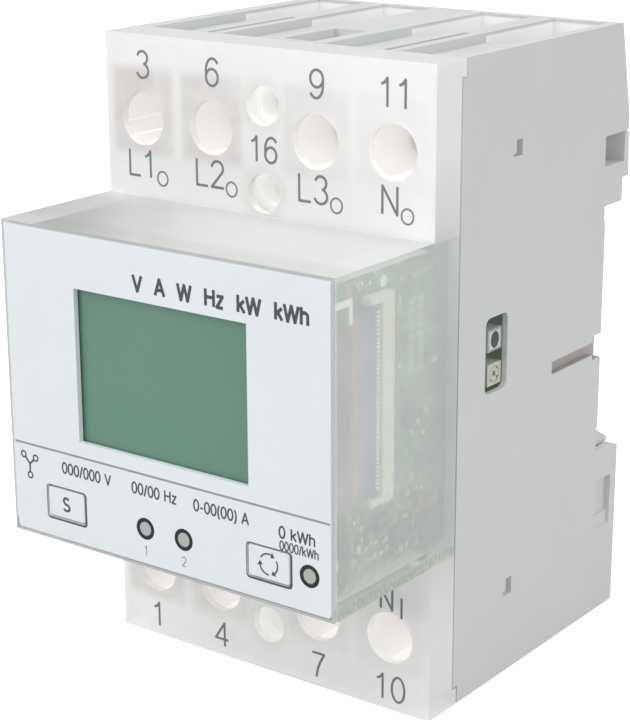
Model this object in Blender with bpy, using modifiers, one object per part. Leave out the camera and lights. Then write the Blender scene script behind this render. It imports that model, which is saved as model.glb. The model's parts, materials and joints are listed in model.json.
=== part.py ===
"""Three-module electricity meter for a 35 mm DIN rail, built as separate parts.

X runs to the right and the front faces -Y, with Z up. The origin is on the face that
rests on the rail, at the middle of the meter's width and of its front block.
Lengths in this file are millimetres; MM turns them into Blender's metres.
"""

import math

import bmesh
import bpy

MM = 0.001
FIT = 0.3            # gap between neighbouring parts
THROUGH = 1.0        # how far a cutter runs past the face that it opens
OVERLAP = 0.5        # how far joined bodies and cutters reach into each other
MATE = 0.1           # overlap of two cuts that run into each other
MERGE = 1e-6         # welding distance in metres

# Case
MODULE = 18.0
HALF_W = 3 * MODULE / 2
HALF_H = 44.0
BLOCK_HALF_H = 21.8
Y_FRONT = -65.6      # face of the front block
Y_TERMINAL = -44.2   # face of the terminal cover
Y_PARTING = -38.4    # joint between the clear cover and the rear housing
Y_REAR = 6.4
BAND = 2.3           # height of the cover's top and bottom bands
BAND_REAR = -37.35
CASE_WALL = 1.8
COVER_WALL = 1.4
PLATE = 1.1          # thickness of the cover over the terminals

CASE_FLOOR = -1.7    # inner side of the rear wall
TERMINAL_BLOCK_Y = (-42.8, -37.0)

# Rear face and rail seat
REAR_SLOPE = [(3.1, HALF_H), (5.84, 31.4)]
RAIL_TOP = 18.5      # upper edge of the rail rests here
LIP_TOP = 21.9
LIP_DEPTH = 4.65
HOOK_TIP = 16.7
HOOK_X = (-12.0, 12.0)
HOOK_HALF_W = 4.0
HOOK_FRONT = 1.3
SEAT_STEP = 0.3      # clearance above and below the pad that rests on the rail
SEAT_PAD_Z = (-14.6, 16.2)
FOOT_LEDGE = (4.4, -18.2)
FOOT_TOP = -19.0
FOOT_REAR = 6.3

# Openings in both sides: depth of the cut, then limits along the depth and the height
SIDE_OPENINGS = [
    ("upper_window", 3.0, (-0.7, 4.9), (24.2, 28.4)),
    ("window_line", 0.3, (-0.7, 8.0), (28.3, 28.6)),
    ("lower_window", 0.9, (0.2, 4.6), (-29.0, -23.2)),
    ("lower_ledge", 0.45, (0.2, 4.6), (-30.9, -28.9)),
    ("side_slit", 1.1, (-14.0, -2.3), (-3.0, -1.1)),
    ("slit_end", 1.1, (-2.4, 1.0), (-3.75, -0.2)),
]
INFRARED_SLOT_Y = (-31.7, -26.2)
INFRARED_SLOT_Z = (-1.5, 9.0)
INFRARED_SLOT_CORNER = 1.0
INFRARED_WALL = 0.8     # the wall is thinned around the slot
INFRARED_RELIEF = 2.2   # how far the thin wall reaches beyond the slot

# Snaps: arms of the cover that click into windows in the sides
SNAP_Z = {1: (29.6, 31.8), -1: (-32.5, -29.9)}
SNAP_PLAY = 0.15
SNAP_CHANNEL_X = (23.9, 25.2)
SNAP_CHANNEL_REAR = -22.8
SNAP_WINDOW_Y = (-25.7, -23.5)
SNAP_ARM_X = (24.2, 24.9)
SNAP_ARM_REAR = -23.2
SNAP_BARB_X = (24.6, 26.3)
SNAP_BARB_Y = (-25.4, -23.8)

# Terminals: number, phase, x, side (+1 top, -1 bottom)
TERMINALS = [
    ("3", -20.6, 1), ("6", -8.6, 1), ("9", 8.6, 1), ("11", 20.6, 1),
    ("1", -20.6, -1), ("4", -8.6, -1), ("7", 8.6, -1), ("10", 20.6, -1),
]
TERMINAL_Z = {1: 32.5, -1: 33.4}
HOLE_R = 3.65
CHAMBER_OFFSET = 0.45   # the chambers sit slightly right of the screws
CHAMBER_HALF_W = 4.15
CHAMBER_FLOOR = 22.3
CHAMBER_ROOF = 41.0
RECESS_DEPTH = 1.3      # shallow part of the wire entry, in front of the pit
PIT_FRONT = -16.7
PIT_REAR = {1: 1.2, -1: -1.7}
SCREW_HEAD_R = 3.3
SCREW_R = 2.3
SCREW_HEAD_FRONT = -35.2
WEB = (-32.5, -31.3)
CAGE_HALF_W = 3.35
CAGE_HALF_L = 4.4
CAGE_WALL = 0.8
CAGE_Y = (-20.7, -6.3)
CAGE_SPACE_Y = (-18.6, -7.4)
POCKET_BELOW = 4.3      # screw pocket, measured from the screw
POCKET_ABOVE = 6.2
PIT_LOW = 33.0
RIB_GROOVE_X = (-14.4, 14.8)
RIB_GROOVE_HALF_W = 0.45
RIB_GROOVE_DEPTH = 0.9
SHANK_PLAY = 0.4
SCREW_HEAD_L = 2.4
SCREW_CHAMFER = 0.4
SCREW_END = -18.3
SCREW_POINT = 0.5
DRIVE_DEPTH = 1.2
DRIVE_HALF_W = 0.5
DRIVE_SLOT_HALF_L = 2.6
DRIVE_CROSS_HALF_L = 1.9

# Current bars
BAR_Y = (-18.0, -16.5)
BAR_NARROW = 1.8
BAR_WIDE = 2.4
BAR_TAPER_Z = (18.0, 19.5)
BAR_REACH = 4.4         # past the screw
RING_R = 4.35
RING_BORE_R = 2.4
RING_HALF_L = 4.0
PHASES = [("l1", -20.6), ("l2", -8.6), ("l3", 8.6), ("n", 20.6)]

# Auxiliary terminals, in the middle: distance from the centre of the two screws
AUX_X = 0.1
AUX_Z = {1: (36.3, 24.7), -1: (37.0, 25.4)}
AUX_HOLE_R = 2.65
AUX_HALF_W = 2.9
AUX_FLOOR = 21.2
AUX_BLOCK_Y = (-41.8, -23.6)
AUX_CHAMBER_REAR = -23.2
AUX_WIRE_Y = [(-32.6, -29.6), (-28.2, -25.2)]
AUX_WIRE_HALF_W = 1.5
AUX_RECESS_Y = (-36.4, -24.4)
AUX_RECESS_HALF_W = 2.6
# For each auxiliary clamp: front of its cavity, front of its contact bar
AUX_ROWS = {"outer": (-36.9, -33.1), "inner": (-32.5, -28.7)}
AUX_CONTACT_T = 0.6
AUX_WIRE_SPACE = 2.8
AUX_CLAMP_HALF_W = 2.1
AUX_CLAMP_HALF_L = 1.9
AUX_CLAMP_WALL = 0.65
AUX_SCREW_FRONT = -39.0
AUX_HEAD_R = 1.7
AUX_HEAD_L = 1.0
AUX_SHANK_R = 1.05

# Front panel
PANEL_HALF_W = 26.5
PANEL_HALF_H = 21.3
PANEL_T = 0.8
PANEL_GAP = 0.15
PANEL_CORNER = 0.4
PANEL_LEDGE_T = 1.1     # rim of the cover that the panel rests on
PANEL_OPENING_HALF_W = 24.4
PANEL_OPENING_HALF_H = 19.4
WINDOW_X = (-14.5, 13.9)
WINDOW_Z = (-6.8, 14.2)
GLASS_MARGIN = 2.0
GLASS_Y = (-64.5, -63.0)
HOLDER_Y = (-63.9, -60.9)
HOLDER_WALL = 1.4
KEYS = [("s", -17.35, -16.25, 6.9, 4.5), ("scroll", 16.95, -16.4, 6.9, 4.6)]
KEY_GAP = 0.22
KEY_CORNER = 0.6
KEY_REAR = -64.4
KEY_FLANGE_Y = (-64.5, -63.9)
KEY_FLANGE_REACH = 0.35
KEY_STEM_R = 0.9
KEY_STEM_REAR = -61.95
SWITCH_FRONT = -62.5
SWITCH_HALF = 2.25
PLUNGER_HOLE_R = 1.3
PLUNGER_FLOOR = -61.3
LIGHTS = [("led_pipe_1", "led_1", -3.33), ("led_pipe_2", "led_2", 3.16), ("pulse_pipe", "pulse_led", 23.3)]
LIGHT_Z = -16.4
LIGHT_R = 0.95
LIGHT_FLANGE_R = 1.6
LIGHT_FLANGE_Y = (-64.5, -64.0)
LIGHT_REAR = -61.9
LIGHT_CLEARANCE_R = 1.9
LED_HALF_W = 1.0
LED_HALF_H = 0.6
LED_FRONT = -61.6

# Circuit boards
DISPLAY_BOARD_Y = (-60.6, -59.4)
DISPLAY_BOARD_HALF_W = 25.2
DISPLAY_BOARD_HALF_H = 19.9
SIDE_BOARD_X = (21.6, 23.2)
SIDE_BOARD_Y = (-57.8, -20.6)
MAIN_BOARD_X = (-24.8, 20.9)
MAIN_BOARD_Y = (-31.6, -30.0)
BOARD_HALF_H = 20.0
BAY_HALF_H = 20.5

# Flat cable from the side board round to the rear of the display board
CONNECTOR_OUTER = 25.1
CONNECTOR_Y = (-55.3, -50.0)
CONNECTOR_Z = (-10.6, 16.8)
CONNECTOR_WALL = 1.0
CONNECTOR_MOUTH = -52.6
CABLE_END = -53.0
CABLE_INNER_END = 15.0
CABLE_T = 0.3
CABLE_BEND_R = 1.45
CABLE_BEND = (23.05, -57.4)
CABLE_MARGIN = 1.5

# Infrared parts, facing the side slot
INFRARED_PARTS = [("ir_detector", 5.4, (0.85, 0.85, 0.83)), ("ir_emitter", 0.6, (0.80, 0.76, 0.66))]
INFRARED_Y = -28.1
INFRARED_T = 2.7
INFRARED_HALF_W = 1.7
INFRARED_HALF_H = 1.5

# Parts on the main board: limits across and up, then height above the board
CAPACITOR_R = 4.0
CAPACITOR_L = 12.0
CAPACITOR_AT = (-15.0, 10.0)
TRANSFORMER = ((-2.0, 10.0), (-14.0, -2.0), 10.0)
TRANSFORMER_GAP_Z = (-11.5, -4.5)
TRANSFORMER_GAP_DEPTH = 2.0
RADIO = ((-3.0, 13.0), (4.0, 17.0), 2.2)
RADIO_ANTENNA_X = 9.5
RADIO_ANTENNA_T = 0.8

# DIN clip
CLIP_TIP = -15.9
CLIP_HALF_W = 25.8
CLIP_LOW = -18.4
CLIP_Y = (1.3, 5.3)
CLIP_NOSE = [(1.3, -16.1), (1.7, CLIP_TIP), (2.3, CLIP_TIP), (5.3, -17.6)]
NOSE_POCKET_Y = (0.9, 5.6)
NOSE_POCKET_Z = (-22.8, -17.0)
TONGUE_HALF_W = 8.0
TONGUE_Y = (1.6, 4.4)
TONGUE_PULL_HALF_W = 2.5
TONGUE_PULL_Z = (-42.2, -40.4)
RELEASE_HALF_W = 4.5
RELEASE_TOP = -37.5
RELEASE_FRONT = 4.0


# ---------------------------------------------------------------- tools

def make_collection(name):
    collection = bpy.data.collections.new(name)
    bpy.context.scene.collection.children.link(collection)
    return collection


def object_from_bmesh(name, bm):
    bmesh.ops.recalc_face_normals(bm, faces=bm.faces)
    mesh = bpy.data.meshes.new(name)
    bm.to_mesh(mesh)
    bm.free()
    obj = bpy.data.objects.new(name, mesh)
    parts.objects.link(obj)
    return obj


def box(name, x, y, z):
    """A box between three pairs of limits; its origin is its centre."""
    bm = bmesh.new()
    bmesh.ops.create_cube(bm, size=1.0)
    size = [(pair[1] - pair[0]) * MM for pair in (x, y, z)]
    bmesh.ops.scale(bm, vec=size, verts=bm.verts)
    obj = object_from_bmesh(name, bm)
    obj.location = [sum(pair) / 2 * MM for pair in (x, y, z)]
    return obj


def cylinder(name, radius, x, y, z, segments=32):
    """A round bar along Y between the limits y."""
    bm = bmesh.new()
    bmesh.ops.create_cone(
        bm, cap_ends=True, segments=segments, radius1=radius * MM, radius2=radius * MM,
        depth=(y[1] - y[0]) * MM)
    obj = object_from_bmesh(name, bm)
    obj.rotation_euler = (math.radians(90), 0, 0)
    obj.location = (x * MM, sum(y) / 2 * MM, z * MM)
    return obj


def upright_cylinder(name, radius, x, y, z, segments=32):
    """A round bar along Z between the limits z."""
    bm = bmesh.new()
    bmesh.ops.create_cone(
        bm, cap_ends=True, segments=segments, radius1=radius * MM, radius2=radius * MM,
        depth=(z[1] - z[0]) * MM)
    obj = object_from_bmesh(name, bm)
    obj.location = (x * MM, y * MM, sum(z) / 2 * MM)
    return obj


def turned(name, profile, x, z, steps=24):
    """Turns (radius, distance in front of y = 0) points, listed front to back, about Y."""
    mesh = bpy.data.meshes.new(name)
    points = [(radius * MM, 0, forward * MM) for radius, forward in profile]
    edges = [(i, i + 1) for i in range(len(points) - 1)]
    mesh.from_pydata(points, edges, [])
    obj = bpy.data.objects.new(name, mesh)
    parts.objects.link(obj)
    screw = obj.modifiers.new("turn", "SCREW")
    screw.axis = "Z"
    screw.steps = steps
    screw.render_steps = steps
    screw.use_merge_vertices = True
    screw.merge_threshold = 1e-5
    obj.rotation_euler = (math.radians(90), 0, 0)
    obj.location = (x * MM, 0, z * MM)
    return obj


def extrusion(name, outline, span, rotation, along):
    """A flat outline, filled and given the thickness of span, as a closed mesh."""
    curve = bpy.data.curves.new(name + "_outline", "CURVE")
    curve.dimensions = "2D"
    curve.fill_mode = "BOTH"
    curve.extrude = (span[1] - span[0]) / 2 * MM
    spline = curve.splines.new("POLY")
    spline.points.add(len(outline) - 1)
    for point, (u, v) in zip(spline.points, outline):
        point.co = (u * MM, v * MM, 0, 1)
    spline.use_cyclic_u = True
    source = bpy.data.objects.new(name + "_outline", curve)
    parts.objects.link(source)
    source.rotation_euler = rotation
    source.location = [axis * sum(span) / 2 * MM for axis in along]
    bpy.context.view_layer.update()
    evaluated = source.evaluated_get(bpy.context.evaluated_depsgraph_get())
    mesh = bpy.data.meshes.new_from_object(evaluated)
    bm = bmesh.new()
    bm.from_mesh(mesh)
    bmesh.ops.remove_doubles(bm, verts=bm.verts, dist=MERGE)
    obj = object_from_bmesh(name, bm)
    obj.matrix_world = source.matrix_world.copy()
    bpy.data.objects.remove(source)
    return obj


def side_profile(name, outline, x):
    """An outline of (y, z) points, extruded across the meter."""
    return extrusion(name, outline, x, (math.radians(90), 0, math.radians(90)), (1, 0, 0))


def plate(name, outline, y):
    """An outline of (x, z) points, extruded along the depth."""
    return extrusion(name, outline, y, (math.radians(90), 0, 0), (0, 1, 0))


def floor_plan(name, outline, z):
    """An outline of (x, y) points, extruded upwards."""
    return extrusion(name, outline, z, (0, 0, 0), (0, 0, 1))


def rounded(u, v, radius, steps=4):
    """The outline of a rectangle between the limits u and v with round corners."""
    corners = [(u[1], v[1], 0), (u[0], v[1], 90), (u[0], v[0], 180), (u[1], v[0], 270)]
    outline = []
    for corner_u, corner_v, start in corners:
        centre_u = corner_u - math.copysign(radius, corner_u - sum(u) / 2)
        centre_v = corner_v - math.copysign(radius, corner_v - sum(v) / 2)
        for step in range(steps + 1):
            angle = math.radians(start + 90 * step / steps)
            outline.append((centre_u + radius * math.cos(angle), centre_v + radius * math.sin(angle)))
    return outline


def boolean(target, other, operation):
    modifier = target.modifiers.new(operation.lower(), "BOOLEAN")
    modifier.operation = operation
    modifier.object = other
    parts.objects.unlink(other)
    cutters.objects.link(other)
    other.hide_render = True
    other.display_type = "WIRE"


def cut(target, *others):
    for other in others:
        boolean(target, other, "DIFFERENCE")


def join(target, *others):
    for other in others:
        boolean(target, other, "UNION")


def mirror_outline(upper):
    """Completes an outline of (y, z) points, given for z above 0, with its mirror image below."""
    return upper + [(y, -z) for y, z in reversed(upper)]


def mirrored(limits, side):
    """Limits given as distances from the centre, on the top (+1) or the bottom (-1)."""
    return tuple(sorted((limits[0] * side, limits[1] * side)))


def around(centre, half):
    return (centre - half, centre + half)


def grown(limits, margin):
    """Limits moved apart by a margin at both ends."""
    return (limits[0] - margin, limits[1] + margin)


def paint(obj, colour, roughness=0.5, metallic=0.0, transmission=0.0):
    material = bpy.data.materials.new(obj.name)
    material.use_nodes = True
    shader = material.node_tree.nodes["Principled BSDF"]
    shader.inputs["Base Color"].default_value = (*colour, 1.0)
    shader.inputs["Roughness"].default_value = roughness
    shader.inputs["Metallic"].default_value = metallic
    shader.inputs["Transmission Weight"].default_value = transmission
    obj.data.materials.append(material)
    return obj


def smooth(obj, angle=35):
    obj.data.shade_smooth()
    obj.data.set_sharp_from_angle(angle=math.radians(angle))


# ---------------------------------------------------------------- case

def build_rear_housing():
    """The rear face, read down from the top: slope, rail lip, seat pad, clip pocket and foot."""
    top = HALF_H
    parting = Y_PARTING + FIT / 2
    band = BAND_REAR + FIT / 2
    low_pad, high_pad = SEAT_PAD_Z
    outline = [(band, top)] + REAR_SLOPE + [
        (Y_REAR, LIP_TOP), (LIP_DEPTH, LIP_TOP), (LIP_DEPTH, RAIL_TOP), (-SEAT_STEP, RAIL_TOP),
        (-SEAT_STEP, high_pad), (0, high_pad), (0, low_pad), (-SEAT_STEP, low_pad), (-SEAT_STEP, FOOT_LEDGE[1]),
        FOOT_LEDGE, (FOOT_LEDGE[0], FOOT_TOP), (Y_REAR, FOOT_TOP), (FOOT_REAR, -top), (band, -top),
        (band, -top + BAND + FIT), (parting, -top + BAND + FIT), (parting, top - BAND - FIT),
        (band, top - BAND - FIT),
    ]
    housing = side_profile("rear_housing", outline, (-HALF_W, HALF_W))
    inner = HALF_W - CASE_WALL
    for side in (1, -1):
        block_z = mirrored((CHAMBER_FLOOR - FIT / 2, top - COVER_WALL - FIT), side)
        join(housing, box("terminal_block", around(0, HALF_W - COVER_WALL - FIT), TERMINAL_BLOCK_Y, block_z))
    join(housing, *[
        box("rail_hook", around(x, HOOK_HALF_W), (HOOK_FRONT, LIP_DEPTH), (HOOK_TIP, RAIL_TOP + OVERLAP))
        for x in HOOK_X])
    cut(housing, box("bay", (-inner, inner), (Y_TERMINAL, CASE_FLOOR), around(0, BAY_HALF_H)))
    for side in (1, -1):
        cut_wire_entries(housing, side)
        cut_auxiliary_chamber(housing, side)
        cut_snap_channels(housing, side)
    cut_side_openings(housing)
    cut_clip_channel(housing)
    return paint(housing, (0.56, 0.57, 0.565), 0.55)


def cut_wire_entries(housing, side):
    zc = TERMINAL_Z[side]
    outside = HALF_H + THROUGH
    recess_front = Y_TERMINAL + THROUGH
    for x in [x for _, x, terminal_side in TERMINALS if terminal_side == side]:
        across = around(x + CHAMBER_OFFSET, CHAMBER_HALF_W)
        cut(
            housing,
            box("screw_pocket", across, (Y_TERMINAL, WEB[0]),
                mirrored((zc - POCKET_BELOW, zc + POCKET_ABOVE), side)),
            cylinder("shank_hole", SCREW_R + SHANK_PLAY, x, (WEB[0] - OVERLAP, WEB[1] + OVERLAP), zc * side),
            box("cage_chamber", across, (WEB[1], CASE_FLOOR), mirrored((CHAMBER_FLOOR, CHAMBER_ROOF), side)),
            box("wire_pit", across, (PIT_FRONT, PIT_REAR[side]), mirrored((PIT_LOW, outside), side)),
            box("entry_recess", across, (recess_front, PIT_FRONT + MATE),
                mirrored((HALF_H - RECESS_DEPTH, outside), side)),
            box("bar_slot", around(x, BAR_WIDE + FIT), (BAR_Y[0] - FIT, BAR_Y[1] + FIT),
                mirrored((BAY_HALF_H - OVERLAP, CHAMBER_FLOOR + OVERLAP), side)),
        )
    groove_y = (recess_front, BAR_Y[0])
    groove_z = mirrored((HALF_H - RIB_GROOVE_DEPTH, outside), side)
    cut(housing, *[box("rib_groove", around(x, RIB_GROOVE_HALF_W), groove_y, groove_z) for x in RIB_GROOVE_X])


def cut_auxiliary_chamber(housing, side):
    outside = HALF_H + THROUGH
    cut(
        housing,
        box("aux_chamber", around(AUX_X, AUX_HALF_W + FIT), (Y_TERMINAL, AUX_CHAMBER_REAR),
            mirrored((AUX_FLOOR, CHAMBER_ROOF), side)),
        *[box("aux_wire", around(AUX_X, AUX_WIRE_HALF_W), wire, mirrored((CHAMBER_ROOF - OVERLAP, outside), side))
          for wire in AUX_WIRE_Y],
        box("aux_recess", around(AUX_X, AUX_RECESS_HALF_W), AUX_RECESS_Y,
            mirrored((HALF_H - RECESS_DEPTH, outside), side)),
    )


def cut_snap_channels(housing, side):
    low, high = SNAP_Z[side]
    for hand in (1, -1):
        cut(
            housing,
            box("snap_channel", mirrored(SNAP_CHANNEL_X, hand), (Y_TERMINAL, SNAP_CHANNEL_REAR),
                (low - SNAP_PLAY, high + SNAP_PLAY)),
            box("snap_window", mirrored((SNAP_CHANNEL_X[1] - OVERLAP, HALF_W + THROUGH), hand), SNAP_WINDOW_Y,
                (low, high)),
        )


def cut_side_openings(housing):
    outside = HALF_W + THROUGH
    for hand in (1, -1):
        cut(housing, *[
            box(name, mirrored((HALF_W - depth, outside), hand), along, upright)
            for name, depth, along, upright in SIDE_OPENINGS])
    inside = HALF_W - CASE_WALL - THROUGH
    relief_y = (INFRARED_SLOT_Y[0] - INFRARED_RELIEF, INFRARED_SLOT_Y[1] + INFRARED_RELIEF)
    relief_z = (INFRARED_SLOT_Z[0] - INFRARED_RELIEF, INFRARED_SLOT_Z[1] + INFRARED_RELIEF)
    slot = rounded(INFRARED_SLOT_Y, INFRARED_SLOT_Z, INFRARED_SLOT_CORNER)
    cut(
        housing,
        side_profile("infrared_slot", slot, (inside, outside)),
        box("infrared_relief", (inside, HALF_W - INFRARED_WALL), relief_y, relief_z),
    )


def cut_clip_channel(housing):
    below = -HALF_H - THROUGH
    cut(
        housing,
        box("nose_pocket", around(0, CLIP_HALF_W + FIT), NOSE_POCKET_Y, NOSE_POCKET_Z),
        box("tongue_channel", around(0, TONGUE_HALF_W + FIT), (TONGUE_Y[0] - FIT, TONGUE_Y[1] + FIT),
            (below, NOSE_POCKET_Z[0] + OVERLAP)),
        box("release_window", around(0, RELEASE_HALF_W), (RELEASE_FRONT, Y_REAR + THROUGH), (below, RELEASE_TOP)),
    )


def build_front_cover():
    rim = HALF_W - COVER_WALL
    rear = Y_PARTING - FIT / 2
    band_rear = BAND_REAR - FIT / 2
    plate_rear = Y_TERMINAL + PLATE
    ledge_front = Y_FRONT + PANEL_T + FIT
    ledge_rear = ledge_front + PANEL_LEDGE_T
    ledge_cut = (ledge_front - OVERLAP, ledge_rear + OVERLAP)
    upper = [
        (Y_FRONT, BLOCK_HALF_H), (Y_TERMINAL, BLOCK_HALF_H), (Y_TERMINAL, HALF_H), (band_rear, HALF_H),
        (band_rear, HALF_H - BAND), (rear, HALF_H - BAND)]
    cover = side_profile("front_cover", mirror_outline(upper), (-HALF_W, HALF_W))
    inner = [
        (ledge_rear, BLOCK_HALF_H - COVER_WALL), (plate_rear, BLOCK_HALF_H - COVER_WALL),
        (plate_rear, HALF_H - COVER_WALL), (0, HALF_H - COVER_WALL)]
    cut(
        cover,
        side_profile("inside", mirror_outline(inner), (-rim, rim)),
        box("panel_seat", around(0, PANEL_HALF_W + PANEL_GAP), (Y_FRONT - THROUGH, ledge_front),
            around(0, PANEL_HALF_H + PANEL_GAP)),
        box("panel_opening", around(0, PANEL_OPENING_HALF_W), ledge_cut, around(0, PANEL_OPENING_HALF_H)),
        cylinder("pulse_clearance", LIGHT_CLEARANCE_R, LIGHTS[2][2], ledge_cut, LIGHT_Z),
    )
    cut_screw_access(cover, (Y_TERMINAL - THROUGH, plate_rear + THROUGH))
    for side in (1, -1):
        add_snap_arms(cover, side, plate_rear - OVERLAP)
    return paint(cover, (0.86, 0.87, 0.86), 0.3, transmission=0.6)


def cut_screw_access(cover, through):
    for _, x, side in TERMINALS:
        cut(cover, cylinder("screw_access", HOLE_R, x, through, TERMINAL_Z[side] * side))
    for side in (1, -1):
        for distance in AUX_Z[side]:
            cut(cover, cylinder("aux_access", AUX_HOLE_R, AUX_X, through, distance * side))


def add_snap_arms(cover, side, root):
    low, high = SNAP_Z[side]
    arm_z = (low + SNAP_PLAY, high - SNAP_PLAY)
    for hand in (1, -1):
        join(
            cover,
            box("snap_arm", mirrored(SNAP_ARM_X, hand), (root, SNAP_ARM_REAR), arm_z),
            box("snap_barb", mirrored(SNAP_BARB_X, hand), SNAP_BARB_Y, arm_z),
        )


# ---------------------------------------------------------------- front panel

def build_front_panel():
    face = rounded(around(0, PANEL_HALF_W), around(0, PANEL_HALF_H), PANEL_CORNER, 2)
    panel = plate("front_panel", face, (Y_FRONT, Y_FRONT + PANEL_T))
    through = (Y_FRONT - THROUGH, Y_FRONT + PANEL_T + THROUGH)
    cut(panel, box("window", WINDOW_X, through, WINDOW_Z))
    for _, x, z, width, height in KEYS:
        outline = rounded(around(x, width / 2), around(z, height / 2), KEY_CORNER)
        cut(panel, plate("key_opening", outline, through))
    for _, _, x in LIGHTS:
        cut(panel, cylinder("light_opening", LIGHT_R + KEY_GAP, x, through, LIGHT_Z, 24))
    return paint(panel, (0.76, 0.79, 0.82), 0.45)


def build_display():
    glass_x, glass_z = grown(WINDOW_X, GLASS_MARGIN), grown(WINDOW_Z, GLASS_MARGIN)
    paint(box("lcd_panel", glass_x, GLASS_Y, glass_z), (0.15, 0.28, 0.22), 0.2)
    holder = box("lcd_holder", grown(glass_x, HOLDER_WALL), HOLDER_Y, grown(glass_z, HOLDER_WALL))
    cut(holder, box("glass_seat", grown(glass_x, FIT), (GLASS_Y[0], GLASS_Y[1] + FIT), grown(glass_z, FIT)))
    paint(holder, (0.85, 0.85, 0.83), 0.5)


def build_keys():
    switch_y = (SWITCH_FRONT, DISPLAY_BOARD_Y[0] - FIT)
    stem_y = (KEY_FLANGE_Y[1] - FIT, KEY_STEM_REAR)
    for name, x, z, width, height in KEYS:
        across, upright = around(x, width / 2), around(z, height / 2)
        outline = rounded(grown(across, -KEY_GAP), grown(upright, -KEY_GAP), KEY_CORNER - KEY_GAP)
        key = plate(name + "_key", outline, (Y_FRONT, KEY_REAR))
        join(
            key,
            box("flange", grown(across, KEY_FLANGE_REACH), KEY_FLANGE_Y, grown(upright, KEY_FLANGE_REACH)),
            cylinder("stem", KEY_STEM_R, x, stem_y, z, 16),
        )
        paint(key, (0.76, 0.79, 0.82), 0.45)
        switch = box(name + "_switch", around(x, SWITCH_HALF), switch_y, around(z, SWITCH_HALF))
        cut(switch, cylinder("plunger_hole", PLUNGER_HOLE_R, x, (SWITCH_FRONT - OVERLAP, PLUNGER_FLOOR), z, 16))
        paint(switch, (0.05, 0.05, 0.05), 0.4)


def build_lights():
    flange_front, flange_rear = -LIGHT_FLANGE_Y[0], -LIGHT_FLANGE_Y[1]
    profile = [
        (0, -Y_FRONT), (LIGHT_R, -Y_FRONT), (LIGHT_R, flange_front), (LIGHT_FLANGE_R, flange_front),
        (LIGHT_FLANGE_R, flange_rear), (LIGHT_R, flange_rear), (LIGHT_R, -LIGHT_REAR), (0, -LIGHT_REAR)]
    led_y = (LED_FRONT, DISPLAY_BOARD_Y[0] - FIT)
    for pipe, led, x in LIGHTS:
        light = turned(pipe, profile, x, LIGHT_Z)
        paint(light, (0.45, 0.46, 0.43), 0.35, transmission=0.3)
        smooth(light)
        paint(box(led, around(x, LED_HALF_W), led_y, around(LIGHT_Z, LED_HALF_H)), (0.9, 0.88, 0.75), 0.3)


# ---------------------------------------------------------------- boards

def build_boards():
    green = (0.06, 0.16, 0.10)
    upright = around(0, BOARD_HALF_H)
    for board in (
            box("display_board", around(0, DISPLAY_BOARD_HALF_W), DISPLAY_BOARD_Y, around(0, DISPLAY_BOARD_HALF_H)),
            box("side_board", SIDE_BOARD_X, SIDE_BOARD_Y, upright),
            box("main_board", MAIN_BOARD_X, MAIN_BOARD_Y, upright)):
        paint(board, green, 0.4)


def build_ribbon():
    """A flat cable from the side board's connector, round its front edge, behind the display board."""
    face = SIDE_BOARD_X[1] + FIT
    connector = box("ribbon_connector", (face, CONNECTOR_OUTER), CONNECTOR_Y, CONNECTOR_Z)
    mouth_y = (CONNECTOR_Y[0] - THROUGH, CONNECTOR_MOUTH)
    mouth_x = (face - THROUGH, CONNECTOR_OUTER + THROUGH)
    cut(connector, box("cable_mouth", mouth_x, mouth_y, grown(CONNECTOR_Z, -CONNECTOR_WALL)))
    paint(connector, (0.80, 0.78, 0.66), 0.5)

    bend_x, bend_y = CABLE_BEND
    outer, inner = CABLE_BEND_R, CABLE_BEND_R - CABLE_T
    turns = [math.radians(-90 * step / 6) for step in range(7)]
    outline = [(bend_x + outer, CABLE_END)]
    outline += [(bend_x + outer * math.cos(a), bend_y + outer * math.sin(a)) for a in turns]
    outline += [(CABLE_INNER_END, bend_y - outer), (CABLE_INNER_END, bend_y - inner)]
    outline += [(bend_x + inner * math.cos(a), bend_y + inner * math.sin(a)) for a in reversed(turns)]
    outline += [(bend_x + inner, CABLE_END)]
    cable = floor_plan("ribbon_cable", outline, grown(CONNECTOR_Z, -CABLE_MARGIN))
    paint(cable, (0.55, 0.60, 0.66), 0.4)


def build_infrared_parts():
    face = SIDE_BOARD_X[1] + FIT
    for name, z, colour in INFRARED_PARTS:
        along, upright = around(INFRARED_Y, INFRARED_HALF_W), around(z, INFRARED_HALF_H)
        paint(box(name, (face, face + INFRARED_T), along, upright), colour, 0.35)


def build_power_parts():
    front = MAIN_BOARD_Y[0] - FIT
    x, z = CAPACITOR_AT
    can = cylinder("capacitor", CAPACITOR_R, x, (front - CAPACITOR_L, front), z)
    paint(can, (0.08, 0.08, 0.10), 0.3)
    smooth(can)

    across, upright, height = TRANSFORMER
    core = box("power_transformer", across, (front - height, front), upright)
    gap_y = (front - height - THROUGH, front - height + TRANSFORMER_GAP_DEPTH)
    cut(core, box("core_gap_front", grown(across, THROUGH), gap_y, TRANSFORMER_GAP_Z))
    paint(core, (0.12, 0.11, 0.10), 0.6)

    across, upright, height = RADIO
    module = box("radio_module", across, (front - height, front), upright)
    antenna_y = (front - height - THROUGH, front - RADIO_ANTENNA_T)
    cut(module, box("antenna_end", (RADIO_ANTENNA_X, across[1] + THROUGH), antenna_y, grown(upright, THROUGH)))
    paint(module, (0.7, 0.7, 0.7), 0.35, metallic=1.0)


# ---------------------------------------------------------------- terminals

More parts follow.
